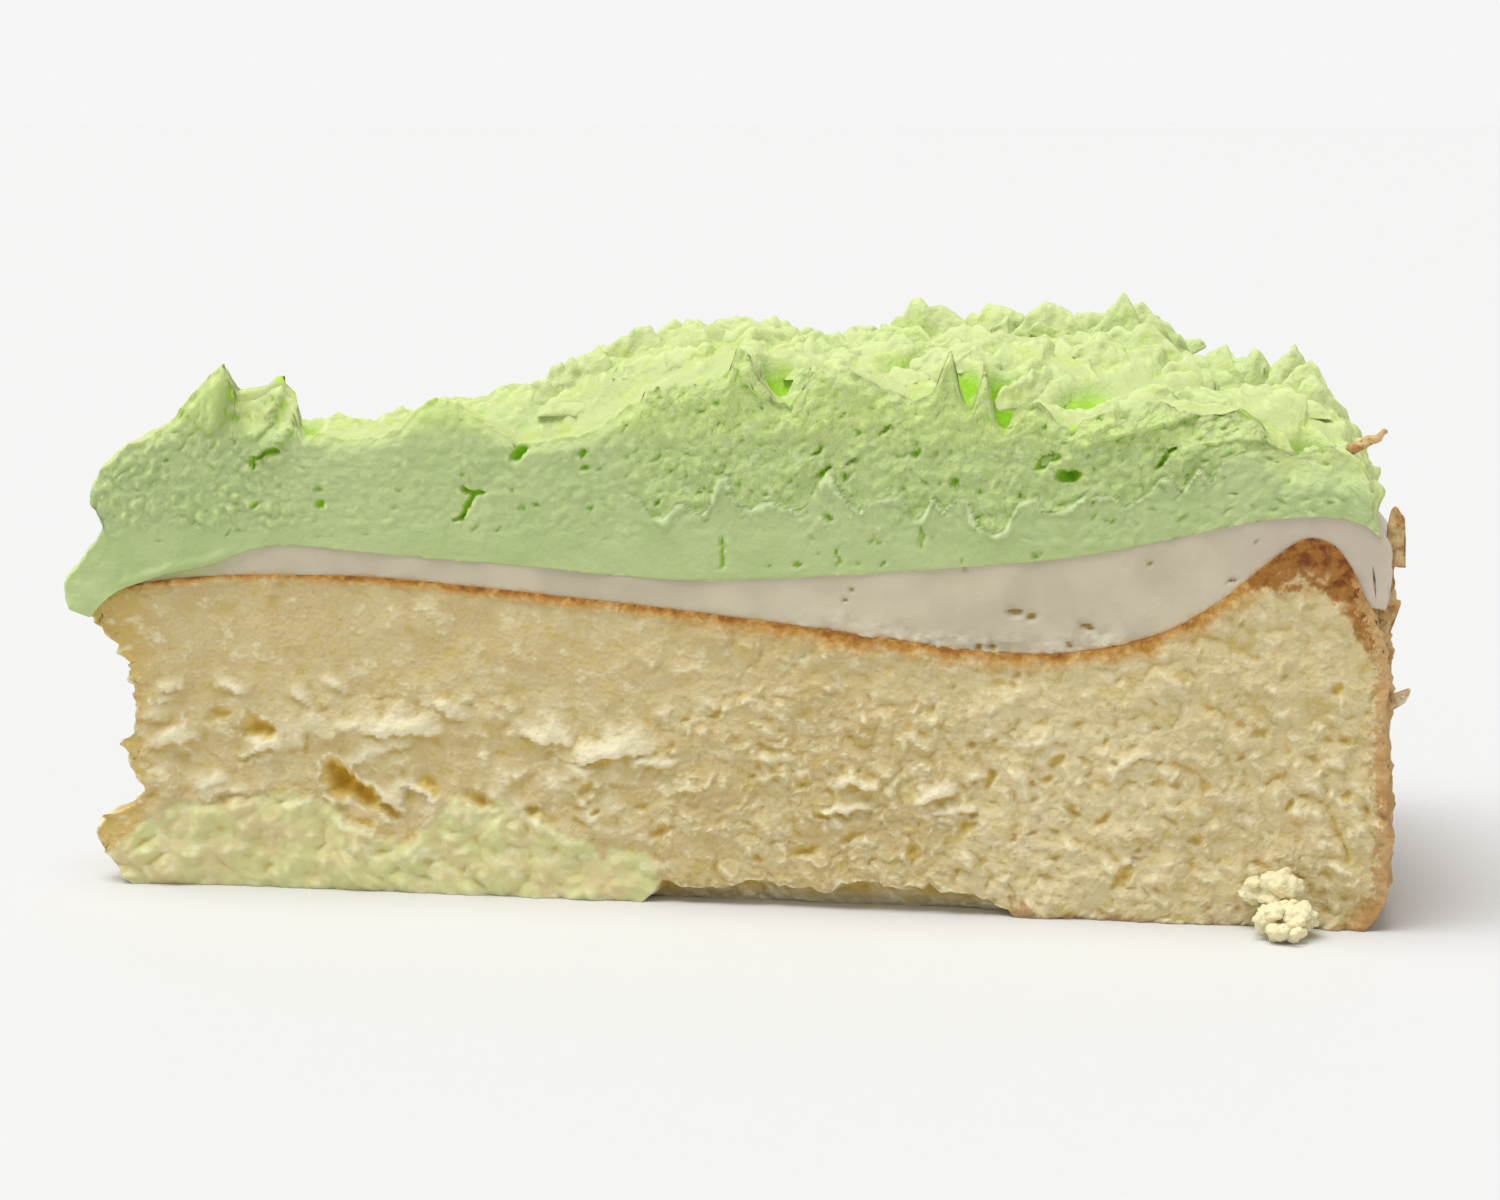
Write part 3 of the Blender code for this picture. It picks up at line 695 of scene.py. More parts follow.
def shingles(out, up, size, seed, ragged=0.3, soft=0.2):
    """Torn sheets that overlap downwards: a saw of the height, whose phase wanders, so that
    each sheet swells towards its lower edge and ends there in a ragged step."""
    phase = up / size + 1.3 * wander(out / 1.3, 0, up, 3.2 * size, seed)
    phase = phase + ragged * rough(out, 0, up, 0.8 * size, seed + 1)
    saw = 1 - (phase - np.floor(phase))
    edge = ease((1 - saw) / soft)
    here = ease((wander(out / 1.3, 0, up, 1.6 * size, seed + 5) + 0.06) / 0.35)
    return saw**1.4 * edge * here


def torn_sheets(out, up):
    """All that was dragged along by the knife on the front cut: large folds in the doughy
    part, smaller ones in the rest, and the flaps of the table."""
    doughy = ease((64 - out) / 16) * ease((22.5 - up) / 5) * ease((out - 1) / 5)
    low = ease((out - 46) / 16) * ease((25 - up) / 6)
    x = out + 0.5 * rough(out, 0, up, 1.8, 339)
    z = up + 0.5 * rough(out, 0, up, 1.8, 349)
    sheets = shingles(x, z - 0.15 * x, 4.2, 341) * doughy
    sheets = np.maximum(sheets, 0.6 * shingles(x, z + 0.2 * x, 2.3, 344) * (doughy + 0.5 * low))
    sheets = np.maximum(sheets, 0.42 * shingles(x, z + 0.1 * x, 1.35, 348, 0.4) * low)
    flaps = np.maximum(flap_relief(x, z, FLAPS), 0.7 * flap_relief(x, z, scattered_flaps(150, 17)))
    return np.maximum(0.8 * sheets, 1.25 * flaps) + 0.3 * billow(out / 1.3, 0, up, 3.8, 331, 2) * doughy


def front_relief(out, across, up):
    """The front cut: sponge, torn sheets, flaps and hollows, and the lumpy smear over them."""
    x = out + 0.5 * rough(out, 0, up, 1.8, 339)
    z = up + 0.5 * rough(out, 0, up, 1.8, 349)
    base = sponge_relief(out, across, up, 301) + 0.8 * torn_sheets(out, up)
    base = base + hollow_relief(x, z, HOLLOWS)
    crusty = ease((1.2 - (read_off(CRUST, out) - up) / read_off(CRUST_THICKNESS, out)) / 0.5)
    base = base * (1 - 0.8 * crusty) + crusty * (0.2 * billow(out, across, up, 1.1, 357, 2) + 0.2)
    cover = smear_cover(out, up)
    lying = 0.3 + 0.65 * billow(out / 1.3, 0, up, 4.6, 347, 3) + 0.12 * rough(out, 0, up, 1.6, 353)
    lying = lying - 0.6 * hump(grains(out / 1.3, 0, up, 4.6, 351)[0] / 0.2)
    return base * (1 - 0.7 * cover) + cover * lying


def back_relief(out, across, up):
    """The back cut: the same sponge with its own flaps and hollows."""
    dice = np.random.default_rng(23)
    holes = np.stack([
        dice.uniform(10, 123, 46), dice.uniform(2, 24, 46), dice.uniform(0.5, 1.3, 46),
        dice.uniform(0.4, 0.9, 46), dice.uniform(-0.4, 0.5, 46), dice.uniform(0.4, 1.0, 46),
    ], -1)  # fmt: skip
    sponge = sponge_relief(out, across, up, 401) + hollow_relief(out, up, holes)
    large = scattered_flaps(26, 19) * (1, 1, 1.7, 1.8, 1, 2.2)
    return sponge + flap_relief(out, up, np.vstack([scattered_flaps(150, 18), large]))


# %% [markdown]
# ## The baked cake: its surface
# The section is one patch held by four edge curves: base, crust line, torn tip and tin side.
# The crust is thin at the middle and thick over the rim. What the colour needs later is stored
# with the surface: how deep a place lies under the crust, the tin side and the base.


# %% Cake
def off_cut(points, relief_of, out, v, up, side, normal, reach):
    """Moves the corners at a cut along its normal by its relief, fading behind the edge."""
    behind = np.maximum(out, 0.5) * np.sin(HALF_ANGLE * (1 - side * v))
    near = behind < 3 * reach
    across = np.full(near.sum(), side * CUT_NOISE_ACROSS)
    relief = relief_of(out[near], across, up[near])
    fade = np.exp(-((behind[near] / reach) ** 2))
    points[near] += (relief * fade)[:, None] * normal


def cake_surface(u, v, w):
    """The cake's points in mm, and the depths that its colours need."""
    edges = (
        edge_curve([TIP_PROFILE[0], RIM_PROFILE[0]]),
        edge_curve(CRUST),
        edge_curve(TIP_PROFILE),
        edge_curve(RIM_PROFILE),
    )
    out, up = np.moveaxis(patch(*edges, u, w), -1, 0)
    behind = out * np.sin(HALF_ANGLE * (v + 1))
    chip = read_off(CHIP, out) + 0.35 * rough(out, 0, 0, 1.6, 31) * (read_off(CHIP, out) > 0)
    chip_here = np.maximum(chip, 0) * (behind < 3.4)
    chip = np.maximum(chip, 0) * np.sqrt(np.clip(1 - (behind / 3.0) ** 2, 0, 1))
    chip = chip * (1 + 0.2 * rough(out, behind, 0, 2.2, 33))
    up = np.maximum(up + chip * (1 - w) ** 2, 0)
    across = out * np.sin(HALF_ANGLE * v)
    on_rim, on_tip = ease((u - 0.985) / 0.015), ease((0.02 - u) / 0.02)
    skin = 0.35 * rough(out, across, up, 2.6, 51) + 0.3 * billow(out, across, up, 1.3, 55, 2)
    torn = 0.5 * rough(out, across, up, 2.6, 61) + 0.6 * billow(out, across, up, 1.6, 65, 2)
    torn = torn + 0.5 * wander(out, across, up, 0.9, 67)
    inner = ease(w / 0.03) * ease((1 - w) / 0.03)
    out = out + (on_rim * skin - on_tip * torn) * inner
    points = in_slice(out, v, up, CAKE_TIP_HALF)
    under = 0.35 * billow(out, across, up, 1.8, 39, 3) * ease(chip_here / 0.6) * (w < 0.3)
    spot = hump((out - 92) / 2.8)
    points += (under * ease(behind / 0.4))[:, None] * (FRONT - (0, 0, 0.3))
    off_cut(points, front_relief, out, v, up, -1, FRONT, 1.1)
    off_cut(points, back_relief, out, v, up, 1, BACK, 1.1)
    points[:, 2] = np.maximum(points[:, 2], 0)
    crest = read_off(CRUST, out)
    x, z = out + 0.5 * rough(out, 0, up, 1.8, 339), up + 0.5 * rough(out, 0, up, 1.8, 349)
    return points, {
        "under_crust": np.maximum(crest - up, 0) * (w < 0.999) / read_off(CRUST_THICKNESS, out)
        + 3 * ease((4.5 - out) / 2.5),
        "inside_rim": np.maximum(np.interp(up, *np.array(RIM_PROFILE)[:, ::-1].T) - out, 0),
        "over_base": np.where(w < 0.001, 0, np.maximum(up - 2.0 * spot, 0))
        + 9 * ease(chip_here / 0.4) * (1 - spot),
        "smear": smear_cover(out, up) * np.exp(-((behind / 1.5) ** 2)),
        # sheet places the painted highlight on the torn sheets.
        "sheet": np.clip(torn_sheets(out, up), 0, 1) * np.exp(-((behind / 0.8) ** 2)),
        "by_tip": ease((9 - out) / 6),
        # hole places the painted shade of the large hollows.
        "hole": np.sqrt(np.clip(-hollow_relief(x, z, HOLLOWS) / 2.2, 0, 1)) * (behind < 1),
    }


corners, faces = block((524, 116), (190, 60, 60, 56), np.linspace(-0.985, 0.985, 70), (196, 46))
points, depths = cake_surface(*corners.T)
cake = make_piece("cake_crumb", points, faces)
for name, values in depths.items():
    give(cake, name, values)
# How sunken each corner lies places the painted shade in pits and the painted highlights where the crumb
# stands out.
near, wide = sunken(cake, (5, 22))
give(cake, "pit", np.clip(wide / 0.45, -1, 1))
give(cake, "grain", np.clip(near / 0.13, -1, 1))
print("pits under 0.3 mm deep:", round(float((wide < 0.3).mean()), 3))

# %% [markdown]
# ## The baked cake: its colour
# The sponge is painted paler where it stands out, a painted highlight, and deeper orange in its
# holes, painted shade for the light that bounces about in them. The torn sheets get a painted
# highlight too. The crust is a dotted brown line that thickens over the rim, and the tin side
# and the base are browned too.


# %% Cake colours
def cake_paint(name, scatter, butter=0.0):
    """Crumb, with painted highlights where it stands out and on the torn sheets and painted shade
    in its pits and holes; then crust, tin side, base and smear, each laid over the one before by a
    share. Loose crumbs are a paler, more buttery yellow than the cut."""
    paint = Paint(name, 0.85, scatter, 1.0, (1.0, 0.7, 0.28), 0.15)
    pit, grain, hole = paint.stored("pit"), paint.stored("grain"), paint.stored("hole")
    tone, mottle = paint.noise(5.0), paint.noise(1.7, 4.0, (0.75, 0.75, 1.1), 0.6)
    specks = paint.noise(0.55, 4.0, None, 0.7)
    colour = paint.blend((0.61, 0.485, 0.24), (0.66, 0.545, 0.295), paint.share(tone, 0.35, 0.65))
    colour = paint.blend(colour, (0.60, 0.43, 0.11), paint.share(paint.stored("by_tip"), 0.0, 1.0, 0.0, 0.7))
    halfway = paint.share(paint.stored("inside_rim"), 46.0, 34.0, 0.0, 0.6)
    colour = paint.blend(colour, (0.76, 0.66, 0.40), halfway)
    towards_rim = paint.share(paint.stored("inside_rim"), 26.0, 16.0, 0.0, 0.7)
    colour = paint.blend(colour, (0.65, 0.535, 0.285), towards_rim)
    colour = paint.blend(colour, (0.57, 0.45, 0.14), paint.share(mottle, 0.46, 0.32, 0.0, 0.7))
    colour = paint.blend(colour, (0.78, 0.70, 0.46), paint.share(mottle, 0.54, 0.7, 0.0, 0.8))
    # Painted highlight: the torn sheets creamy white where their faces catch the light; loose crumbs get the
    # same pale colour all over.
    colour = paint.blend(colour, (0.87, 0.81, 0.58), paint.share(paint.stored("sheet"), 0.1, 1.0, 0.0, 0.85))
    # Painted highlights: paler where the crumb stands out of its surroundings, at two sizes.
    colour = paint.blend(colour, (0.80, 0.72, 0.49), paint.share(grain, -0.3, -1.0, 0.0, 0.5))
    colour = paint.blend(colour, (0.84, 0.77, 0.54), paint.share(pit, -0.15, -0.8, 0.0, 0.8))
    # Painted shade: gold to orange in the pits and in the large hollows, for the light that bounces about in
    # them.
    colour = paint.blend(colour, (0.60, 0.42, 0.10), paint.share(pit, 0.1, 0.6, 0.0, 0.8))
    colour = paint.blend(colour, (0.59, 0.38, 0.06), paint.share(pit, 0.6, 1.0, 0.0, 0.6))
    colour = paint.blend(colour, (0.72, 0.54, 0.16), paint.share(hole, 0.15, 0.5, 0.0, 0.8))
    colour = paint.blend(colour, (0.62, 0.38, 0.04), paint.share(hole, 0.5, 0.9, 0.0, 0.9))
    if butter:
        colour = paint.blend(colour, (0.92, 0.84, 0.52), paint.share(tone, 0.3, 0.7, butter, butter - 0.3))
    wobble = paint.sum(
        paint.share(paint.noise(0.8, 2.0), 0.3, 0.7, -0.2, 0.2),
        paint.share(paint.noise(3.0, 2.0), 0.3, 0.7, -0.25, 0.25))
    rim_depth = paint.sum(paint.stored("inside_rim"), paint.share(specks, 0.3, 0.7, -0.8, 0.8))
    patchy = paint.sum(rim_depth, paint.share(paint.noise(6.0, 1.0), 0.42, 0.62, 3.0, 0.0))
    colour = paint.blend(colour, (0.52, 0.27, 0.07), paint.share(patchy, 3.4, 0.4, 0.0, 0.88))
    crust_depth = paint.sum(paint.stored("under_crust"), wobble)
    colour = paint.blend(colour, (0.62, 0.38, 0.12), paint.share(crust_depth, 1.3, 0.6, 0.0, 0.8))
    colour = paint.blend(colour, (0.54, 0.27, 0.055), paint.share(crust_depth, 0.75, 0.25, 0.0, 0.85))
    near_rim = paint.share(paint.stored("inside_rim"), 13.0, 7.0, 0.0, 0.85)
    crest = paint.sum(crust_depth, near_rim, "SUBTRACT")
    blotch = paint.noise(1.3, 3.0)
    colour = paint.blend(colour, (0.36, 0.15, 0.03), paint.share(crest, 0.35, -0.05, 0.0, 0.85))
    colour = paint.blend(colour, (0.20, 0.06, 0.02), paint.sum(
        paint.share(crest, 0.05, -0.5, 0.0, 0.9), paint.share(blotch, 0.42, 0.6), "MULTIPLY"))
    skin = paint.blend((0.50, 0.29, 0.11), (0.63, 0.43, 0.21), paint.share(tone, 0.3, 0.7))
    skin = paint.blend(skin, (0.36, 0.17, 0.05), paint.share(specks, 0.58, 0.74, 0.0, 0.8))
    colour = paint.blend(colour, skin, paint.share(rim_depth, 1.3, 0.6))
    base_depth = paint.sum(paint.stored("over_base"), wobble)
    colour = paint.blend(colour, (0.45, 0.27, 0.11), paint.share(base_depth, 0.6, 0.1, 0.0, 0.8))
    patches = paint.noise(3.6, 2.0)
    smear = paint.blend((0.68, 0.59, 0.31), (0.65, 0.65, 0.31), paint.share(patches, 0.35, 0.65))
    # Painted highlight on the smear where it stands out, and painted shade in its hollows.
    smear = paint.blend(smear, (0.80, 0.80, 0.50), paint.share(pit, -0.15, -0.8, 0.0, 0.85))
    smear = paint.blend(smear, (0.79, 0.77, 0.54), paint.share(mottle, 0.52, 0.72, 0.0, 0.7))
    smear = paint.blend(smear, (0.62, 0.53, 0.18), paint.share(pit, 0.15, 0.8))
    colour = paint.blend(colour, smear, paint.share(paint.stored("smear"), 0.1, 0.9, 0.0, 0.95))
    fine = paint.sum(paint.noise(0.35, 4.0), paint.cells(0.5), "MULTIPLY")
    rather = paint.sum(1.0, paint.sum(paint.stored("smear"), 0.7, "MULTIPLY"), "SUBTRACT")
    bumps = paint.sum(paint.sum(fine, 0.6, "MULTIPLY"), mottle)
    paint.bumps(paint.sum(bumps, rather, "MULTIPLY"), 0.4)
    return paint.finish(colour)


serve(cake, cake_paint("baked_crumb", 0.4), "cake")

# %% [markdown]
# ## Loose crumbs
# Crumbs have fallen in front of the cut near the rim, in two clumps that touch. A crumb is a
# ball whose rings are pushed in and out by noise.

# %% Crumbs
# Clumps: distance out, distance in front of the cut, height, three half sizes, how many.
CLUMPS = [(117.0, 0.6, 3.2, 3.2, 2.6, 3.2, 52), (118.4, 5.0, 1.7, 2.8, 4.4, 1.8, 38)]


def scattered_crumbs(seed):
    """Crumbs inside the ovals of CLUMPS: their middles in mm, and their half sizes."""
    dice, middles, sizes = np.random.default_rng(seed), [], []
    for out, ahead, up, *half, count in CLUMPS:
        way = dice.normal(0, 1, (count, 3))
        way = way / np.linalg.norm(way, axis=1)[:, None] * dice.uniform(0.35, 1, (count, 1)) ** 0.5
        size = dice.uniform(0.4, 1.3, count) * min(1, half[2] / 2)
        x, y, z = (way * (np.array(half) - size[:, None] * 0.8)).T
        x, y = out + x, -ahead + y
        c, n = np.cos(HALF_ANGLE), np.sin(HALF_ANGLE)
        middles.append(np.stack([x * c + y * n - ORIGIN_OUT, y * c - x * n - ORIGIN_ACROSS, up + z], -1))
        sizes.append(size)
    return np.vstack(middles), np.concatenate(sizes)


def balls(middles, sizes, rings=13, around=20):
    """Lumpy balls: every ring of a ball is pushed in and out by noise on the ball's surface."""
    rise = np.linspace(-0.46, 0.46, rings)[:, None] * np.pi
    turn = np.linspace(0, 2 * np.pi, around, endpoint=False)
    way = np.stack(np.broadcast_arrays(
        np.cos(rise) * np.cos(turn), np.cos(rise) * np.sin(turn), np.sin(rise)
    ), -1)  # fmt: skip
    where = middles[:, None, None] + way * sizes[:, None, None, None]
    push = 1 + 0.6 * rough(*np.moveaxis(where, -1, 0), 1.1, 811, 3)
    points = middles[:, None, None] + way * (sizes[:, None, None] * push)[..., None] * (1.15, 1, 0.85)
    points[..., 2] = np.maximum(points[..., 2], 0.02)
    return points


def plain_crumb(piece, over=9.0, pale=0.6):
    """Gives a loose bit of cake the numbers that the cake's material reads: no crust near."""
    count = len(piece.data.vertices)
    for name in ("under_crust", "inside_rim", "over_base"):
        give(piece, name, np.full(count, over))
    for name in ("smear", "hole", "by_tip"):
        give(piece, name, np.zeros(count))
    give(piece, "sheet", np.full(count, pale))
    # The sunken depths place the cake's painted shade and highlights on the crumbs too.
    near, wide = sunken(piece, (2, 6))
    give(piece, "pit", np.clip(wide / 0.3, -0.4, 1))
    give(piece, "grain", np.clip(near / 0.1, -0.4, 1))


crumbs = make_piece("fallen_crumbs", *tubes(balls(*scattered_crumbs(83))))
plain_crumb(crumbs)
serve(crumbs, cake_paint("fallen_crumb", 0.0, 0.7), "cake")

# %% [markdown]
# ## The white cream
# The cream was poured, so the knife leaves it smooth and satin. A few bubbles show in it. Its
# line on the cake is beaded with crumbs of crust. It thins to a tinted feather at the tip, and
# folds over the rim and part of the way down the outside.

# %% Bubbles in the cream
# Bubbles, in rows like those of HOLLOWS.
CREAM_PITS = [
    (92.1, 29.3, 1.0, 0.45, 0.0, 0.8), (93.6, 28.9, 0.7, 0.35, 0.1, 0.7),
    (98.9, 28.1, 0.9, 0.4, -0.2, 0.8), (88.6, 25.9, 0.5, 0.4, 0.0, 0.6),
    (89.9, 25.9, 0.6, 0.4, 0.0, 0.6), (97.2, 26.3, 0.5, 0.4, 0.0, 0.5),
    (76.4, 31.0, 0.4, 0.3, 0.0, 0.4), (75.8, 30.0, 0.4, 0.3, 0.0, 0.4),
    (87.3, 33.3, 0.4, 0.3, 0.0, 0.4), (104.8, 34.2, 0.35, 0.3, 0.0, 0.4),
    (102.6, 34.2, 0.25, 0.25, 0.0, 0.3), (112.5, 32.8, 0.6, 0.22, 0.1, 0.5),
    (114.7, 36.5, 0.25, 0.2, 0.0, 0.3),
]  # fmt: skip


# %% Cream
def lumpy_strip(out, up):
    """1 in the lumpy strip just over the crust, towards the rim, and 0 clear of it."""
    over = up - read_off(CRUST, out)
    return ease((2.6 - over) / 1.6) * ease((out - 68) / 10) * ease((108 - out) / 8)


def cream_face(out, across, up):
    """Low soft waves, bubbles, and the lumpy strip."""
    lumps = 0.34 * rough(out, across, up, 1.7, 511) * lumpy_strip(out, up)
    soft = 0.12 * rough(out / 1.6, across, up, 4.0, 501, 2)
    return 0.1 + soft + lumps + hollow_relief(out, up, CREAM_PITS)


def cream_back(out, across, up):
    """The back cut of the cream: the same waves with other bubbles."""
    return 0.1 + 0.14 * rough(out / 1.6, across, up, 3.6, 541)


def cream_surface(u, v, w):
    """The cream's points in mm: straight rules between the crust line and the cream's top."""
    t = even_number(CREAM_TOP, CREAM_START)(u)
    low, high = along(CRUST, t) - 0.1 * outward(CRUST, t), along(CREAM_TOP, t)
    line = low + (high - low) * w[..., None]
    across = line[..., 0] * np.sin(HALF_ANGLE * v)
    side = ease((line[..., 0] - 123) / 2)
    swell = 0.5 * rough(line[..., 0], across, line[..., 1], 4.6, 521) * side * (w > 0.5)
    line = line + outward(CREAM_TOP, t) * swell[..., None]
    line[..., 1] -= 0.9 * np.abs(rough(0, across, 7, 5.0, 523)) * ease((u - 0.97) / 0.03)
    out, up = np.moveaxis(line, -1, 0)
    points = in_slice(out, v, up, CAKE_TIP_HALF)
    off_cut(points, cream_face, out, v, up, -1, FRONT, 0.6)
    off_cut(points, cream_back, out, v, up, 1, BACK, 0.6)
    return points, {
        "over_crust": np.maximum(up - read_off(CRUST, out), 0) * ease((122.5 - out) / 1.5)
        + 9 * ease((out - 121) / 1.5),
        "feather": ease((17.5 - out) / 9),
        "over_rim": ease((out - 106) / 12),
        "strip": lumpy_strip(out, up) * (v < -0.999),
    }


corners, faces = block((560, 26), (60, 6, 240, 4), np.linspace(-0.985, 0.985, 90), (300, 16))
points, depths = cream_surface(*corners.T)
cream = make_piece("white_cream_layer", points, faces)
for name, values in depths.items():
    give(cream, name, values)
# How sunken the cream lies places the painted shade in its bubbles.
(wide,) = sunken(cream, (12,))
give(cream, "pit", np.clip(wide / 0.3, -1, 1))


# %% Cream colours
def cream_paint():
    """Satin off-white, tan and tinted at its feather, mauve over the rim, and painted shade of gold in its
    bubbles and hollows.
    """
    paint = Paint("poured_cream", 0.34, 0.25, 1.0, (1.0, 0.8, 0.5))
    tone = paint.noise(7.0, 2.0)
    colour = paint.blend((0.52, 0.465, 0.335), (0.595, 0.535, 0.39), paint.share(tone, 0.35, 0.65))
    over_rim = paint.share(paint.stored("over_rim"), 0.2, 1.0, 0.0, 0.6)
    colour = paint.blend(colour, (0.56, 0.47, 0.39), over_rim)
    feather = paint.share(paint.stored("feather"), 0.1, 0.9, 0.0, 0.9)
    colour = paint.blend(colour, (0.47, 0.51, 0.23), feather)
    veins = paint.share(paint.noise(1.6, 3.0, (0.6, 0.6, 1.3)), 0.48, 0.62, 0.0, 0.8)
    colour = paint.blend(colour, (0.70, 0.64, 0.50), paint.sum(veins, paint.stored("strip"), "MULTIPLY"))
    beads = paint.sum(paint.stored("over_crust"), paint.share(paint.noise(0.7), 0.3, 0.7, -0.2, 0.5))
    colour = paint.blend(colour, (0.60, 0.42, 0.19), paint.share(beads, 0.45, 0.1, 0.0, 0.7))
    # Painted shade: gold in the bubbles and hollows of the cream.
    colour = paint.blend(colour, (0.46, 0.29, 0.04), paint.share(paint.stored("pit"), 0.3, 0.95))
    paint.bumps(paint.noise(0.6, 3.0), 0.08)
    return paint.finish(colour)


serve(cream, cream_paint(), "white_cream")

# %% [markdown]
# ## The lime frosting: its top
# The frosting was heaped on and pulled about with a spatula, so its top is a crowd of
# overlapping leaves. Each leaf is a ridge with one gentle and one steep side that leans over
# at its crest. At every place the tallest leaf wins, which leaves a sharp crease where two of
# them meet. A voxel remesh of separate leaves would round those creases off.

# %% Sizes of the heap
# How high the heap stands over its line of stations: distance out, height.
HEAP = [
    (0, 0.3), (15, 0.7), (28, 1.0), (36, 2.4), (47, 4.2), (56, 4.4), (66, 3.0), (75, 0.8),
    (84, 1.2), (90, 2.0), (95, 3.4), (101, 4.2), (106, 2.4), (110, 0.5), (117, 0.8), (122, 0.4),
    (127, 0.3),
]  # fmt: skip
# The top of the cut: where the knife left the frosting.
CUT_EDGE = [
    (6.0, 43.9), (8.2, 45.3), (10.0, 47.2), (11.5, 48.9), (13.0, 50.3), (13.9, 51.2), (14.5, 51.7),
    (14.8, 51.0), (14.9, 49.9), (15.1, 49.1), (15.8, 48.8), (17.0, 49.1), (18.2, 49.5),
    (19.3, 50.2), (19.9, 50.4), (20.1, 49.6), (20.5, 49.0), (21.1, 48.7), (21.4, 48.0),
    (21.7, 47.0), (21.9, 45.8), (22.3, 44.9), (25.0, 44.6), (29.0, 44.5), (32.0, 45.4), (34.1, 47.8),
    (35.6, 48.5), (37.6, 48.4), (41.0, 46.1), (44.0, 44.5), (46.0, 44.6), (48.0, 44.9),
    (50.4, 45.4), (51.9, 46.3), (53.4, 47.2), (55.9, 48.7), (56.4, 49.9), (59.8, 50.3),
    (62.7, 50.9), (64.4, 51.4), (65.3, 53.9), (66.4, 53.4), (67.5, 50.9), (68.8, 49.2),
    (70.4, 48.2), (71.6, 50.2), (73.3, 51.9), (76.2, 51.8), (79.1, 50.4), (81.0, 49.6),
    (82.6, 49.2), (83.8, 49.7), (84.5, 50.8), (85.0, 52.2), (85.4, 53.7), (85.8, 53.9),
    (86.2, 52.4), (86.6, 50.4), (87.1, 48.8), (87.7, 48.6), (88.2, 49.6), (88.6, 51.0),
    (89.0, 51.8), (89.4, 50.8), (89.8, 48.6), (90.3, 46.8), (91.0, 46.6), (91.8, 48.2),
    (92.8, 49.2), (94.0, 49.0), (95.2, 48.0), (96.2, 46.8), (97.2, 46.7), (98.4, 47.4), (101.0, 48.5),
    (101.9, 47.4), (103.2, 47.6), (105.5, 49.4), (107.2, 48.9), (109.3, 48.0), (113.0, 48.7),
    (114.8, 47.4), (115.8, 46.0),
    (117.7, 44.4), (119.4, 44.9), (121.3, 45.4), (122.4, 44.6),
]  # fmt: skip
# Pulled leaves near the front cut, placed as (distance along the cut, distance behind it,
# turn in degrees, half length, height, gentle side, steep side, lean).
LEAVES = [
    (12.3, 3.2, 84, 4.6, 3.0, 2.6, 0.5, 0.5), (17.6, 4.0, 84, 4.6, 2.4, 2.2, 0.5, 0.5),
    (23.5, 7.0, 75, 5.0, 1.4, 2.4, 0.9, 0.5),
    (36.0, 3.0, 70, 4.0, 1.8, 2.6, 1.0, 0.6), (51.0, 8.0, 60, 6.0, 2.2, 3.4, 1.2, 0.8),
    (66.0, 2.6, 76, 3.6, 4.4, 2.6, 0.6, 1.4), (74.0, 4.0, 66, 5.0, 3.4, 3.4, 0.8, 1.0),
    (85.6, 2.2, 64, 4.4, 4.6, 2.6, 0.6, 1.8), (89.4, 2.0, 66, 3.6, 3.4, 2.0, 0.5, 1.4),
    (95.4, 4.6, 58, 4.4, 3.0, 2.8, 0.8, 1.0), (101.0, 3.4, 18, 6.0, 3.2, 1.2, 2.6, -1.2),
    (106.5, 5.6, 16, 6.0, 3.6, 1.2, 2.6, -1.2), (112.0, 8.4, 10, 6.4, 3.0, 1.4, 3.0, -1.0),
    (114.6, 3.0, 24, 4.4, 2.2, 1.4, 2.2, -0.8), (93.0, 9.6, 70, 6.0, 4.6, 3.4, 1.2, 1.4),
    (98.6, 13.0, 78, 6.0, 5.4, 2.6, 1.6, -1.2), (104.0, 14.0, 82, 6.4, 6.0, 3.2, 0.8, 1.0),
    (108.6, 11.4, 74, 5.0, 4.2, 2.8, 0.9, 0.8), (118.0, 7.4, 84, 5.4, 5.2, 4.2, 0.6, 1.4),
    (121.0, 11.4, 86, 5.0, 3.8, 2.0, 0.7, 0.8), (88.0, 12.0, 66, 6.0, 3.6, 3.2, 1.4, 0.8),
    (80.5, 9.0, 62, 6.0, 3.6, 3.6, 1.0, 1.0), (60.0, 10.0, 58, 6.4, 2.6, 4.0, 1.4, 0.8),
    (70.0, 11.0, 62, 5.6, 3.0, 3.2, 1.2, 0.8),
]  # fmt: skip


# %% Leaves of frosting
def scattered_leaves(count, seed):
    """More leaves in rows like those of LEAVES, all over the top: larger towards the rim,
    turned with the spatula's stroke round the cake."""
    dice = np.random.default_rng(seed)
    out = np.sqrt(dice.uniform(16**2, 124**2, count))
    angle = HALF_ANGLE * 2 * dice.uniform(0.03, 0.99, count)
    size = read_off([(0, 0.3), (40, 0.45), (62, 0.6), (84, 0.95), (124, 1.0)], out)
    size = size * dice.uniform(0.6, 1.25, count)
    turn = np.degrees(angle) + 90 + dice.normal(-14, 26, count)
    lean = np.where(dice.random(count) < 0.7, 1.0, -1.0) * dice.uniform(0.5, 1.2, count) * size
    return np.stack([
        out * np.cos(angle), out * np.sin(angle), turn, 4.6 * size * dice.uniform(0.6, 1.5, count),
        3.0 * size, 3.0 * size, 0.9 * size, lean,
    ], -1)  # fmt: skip


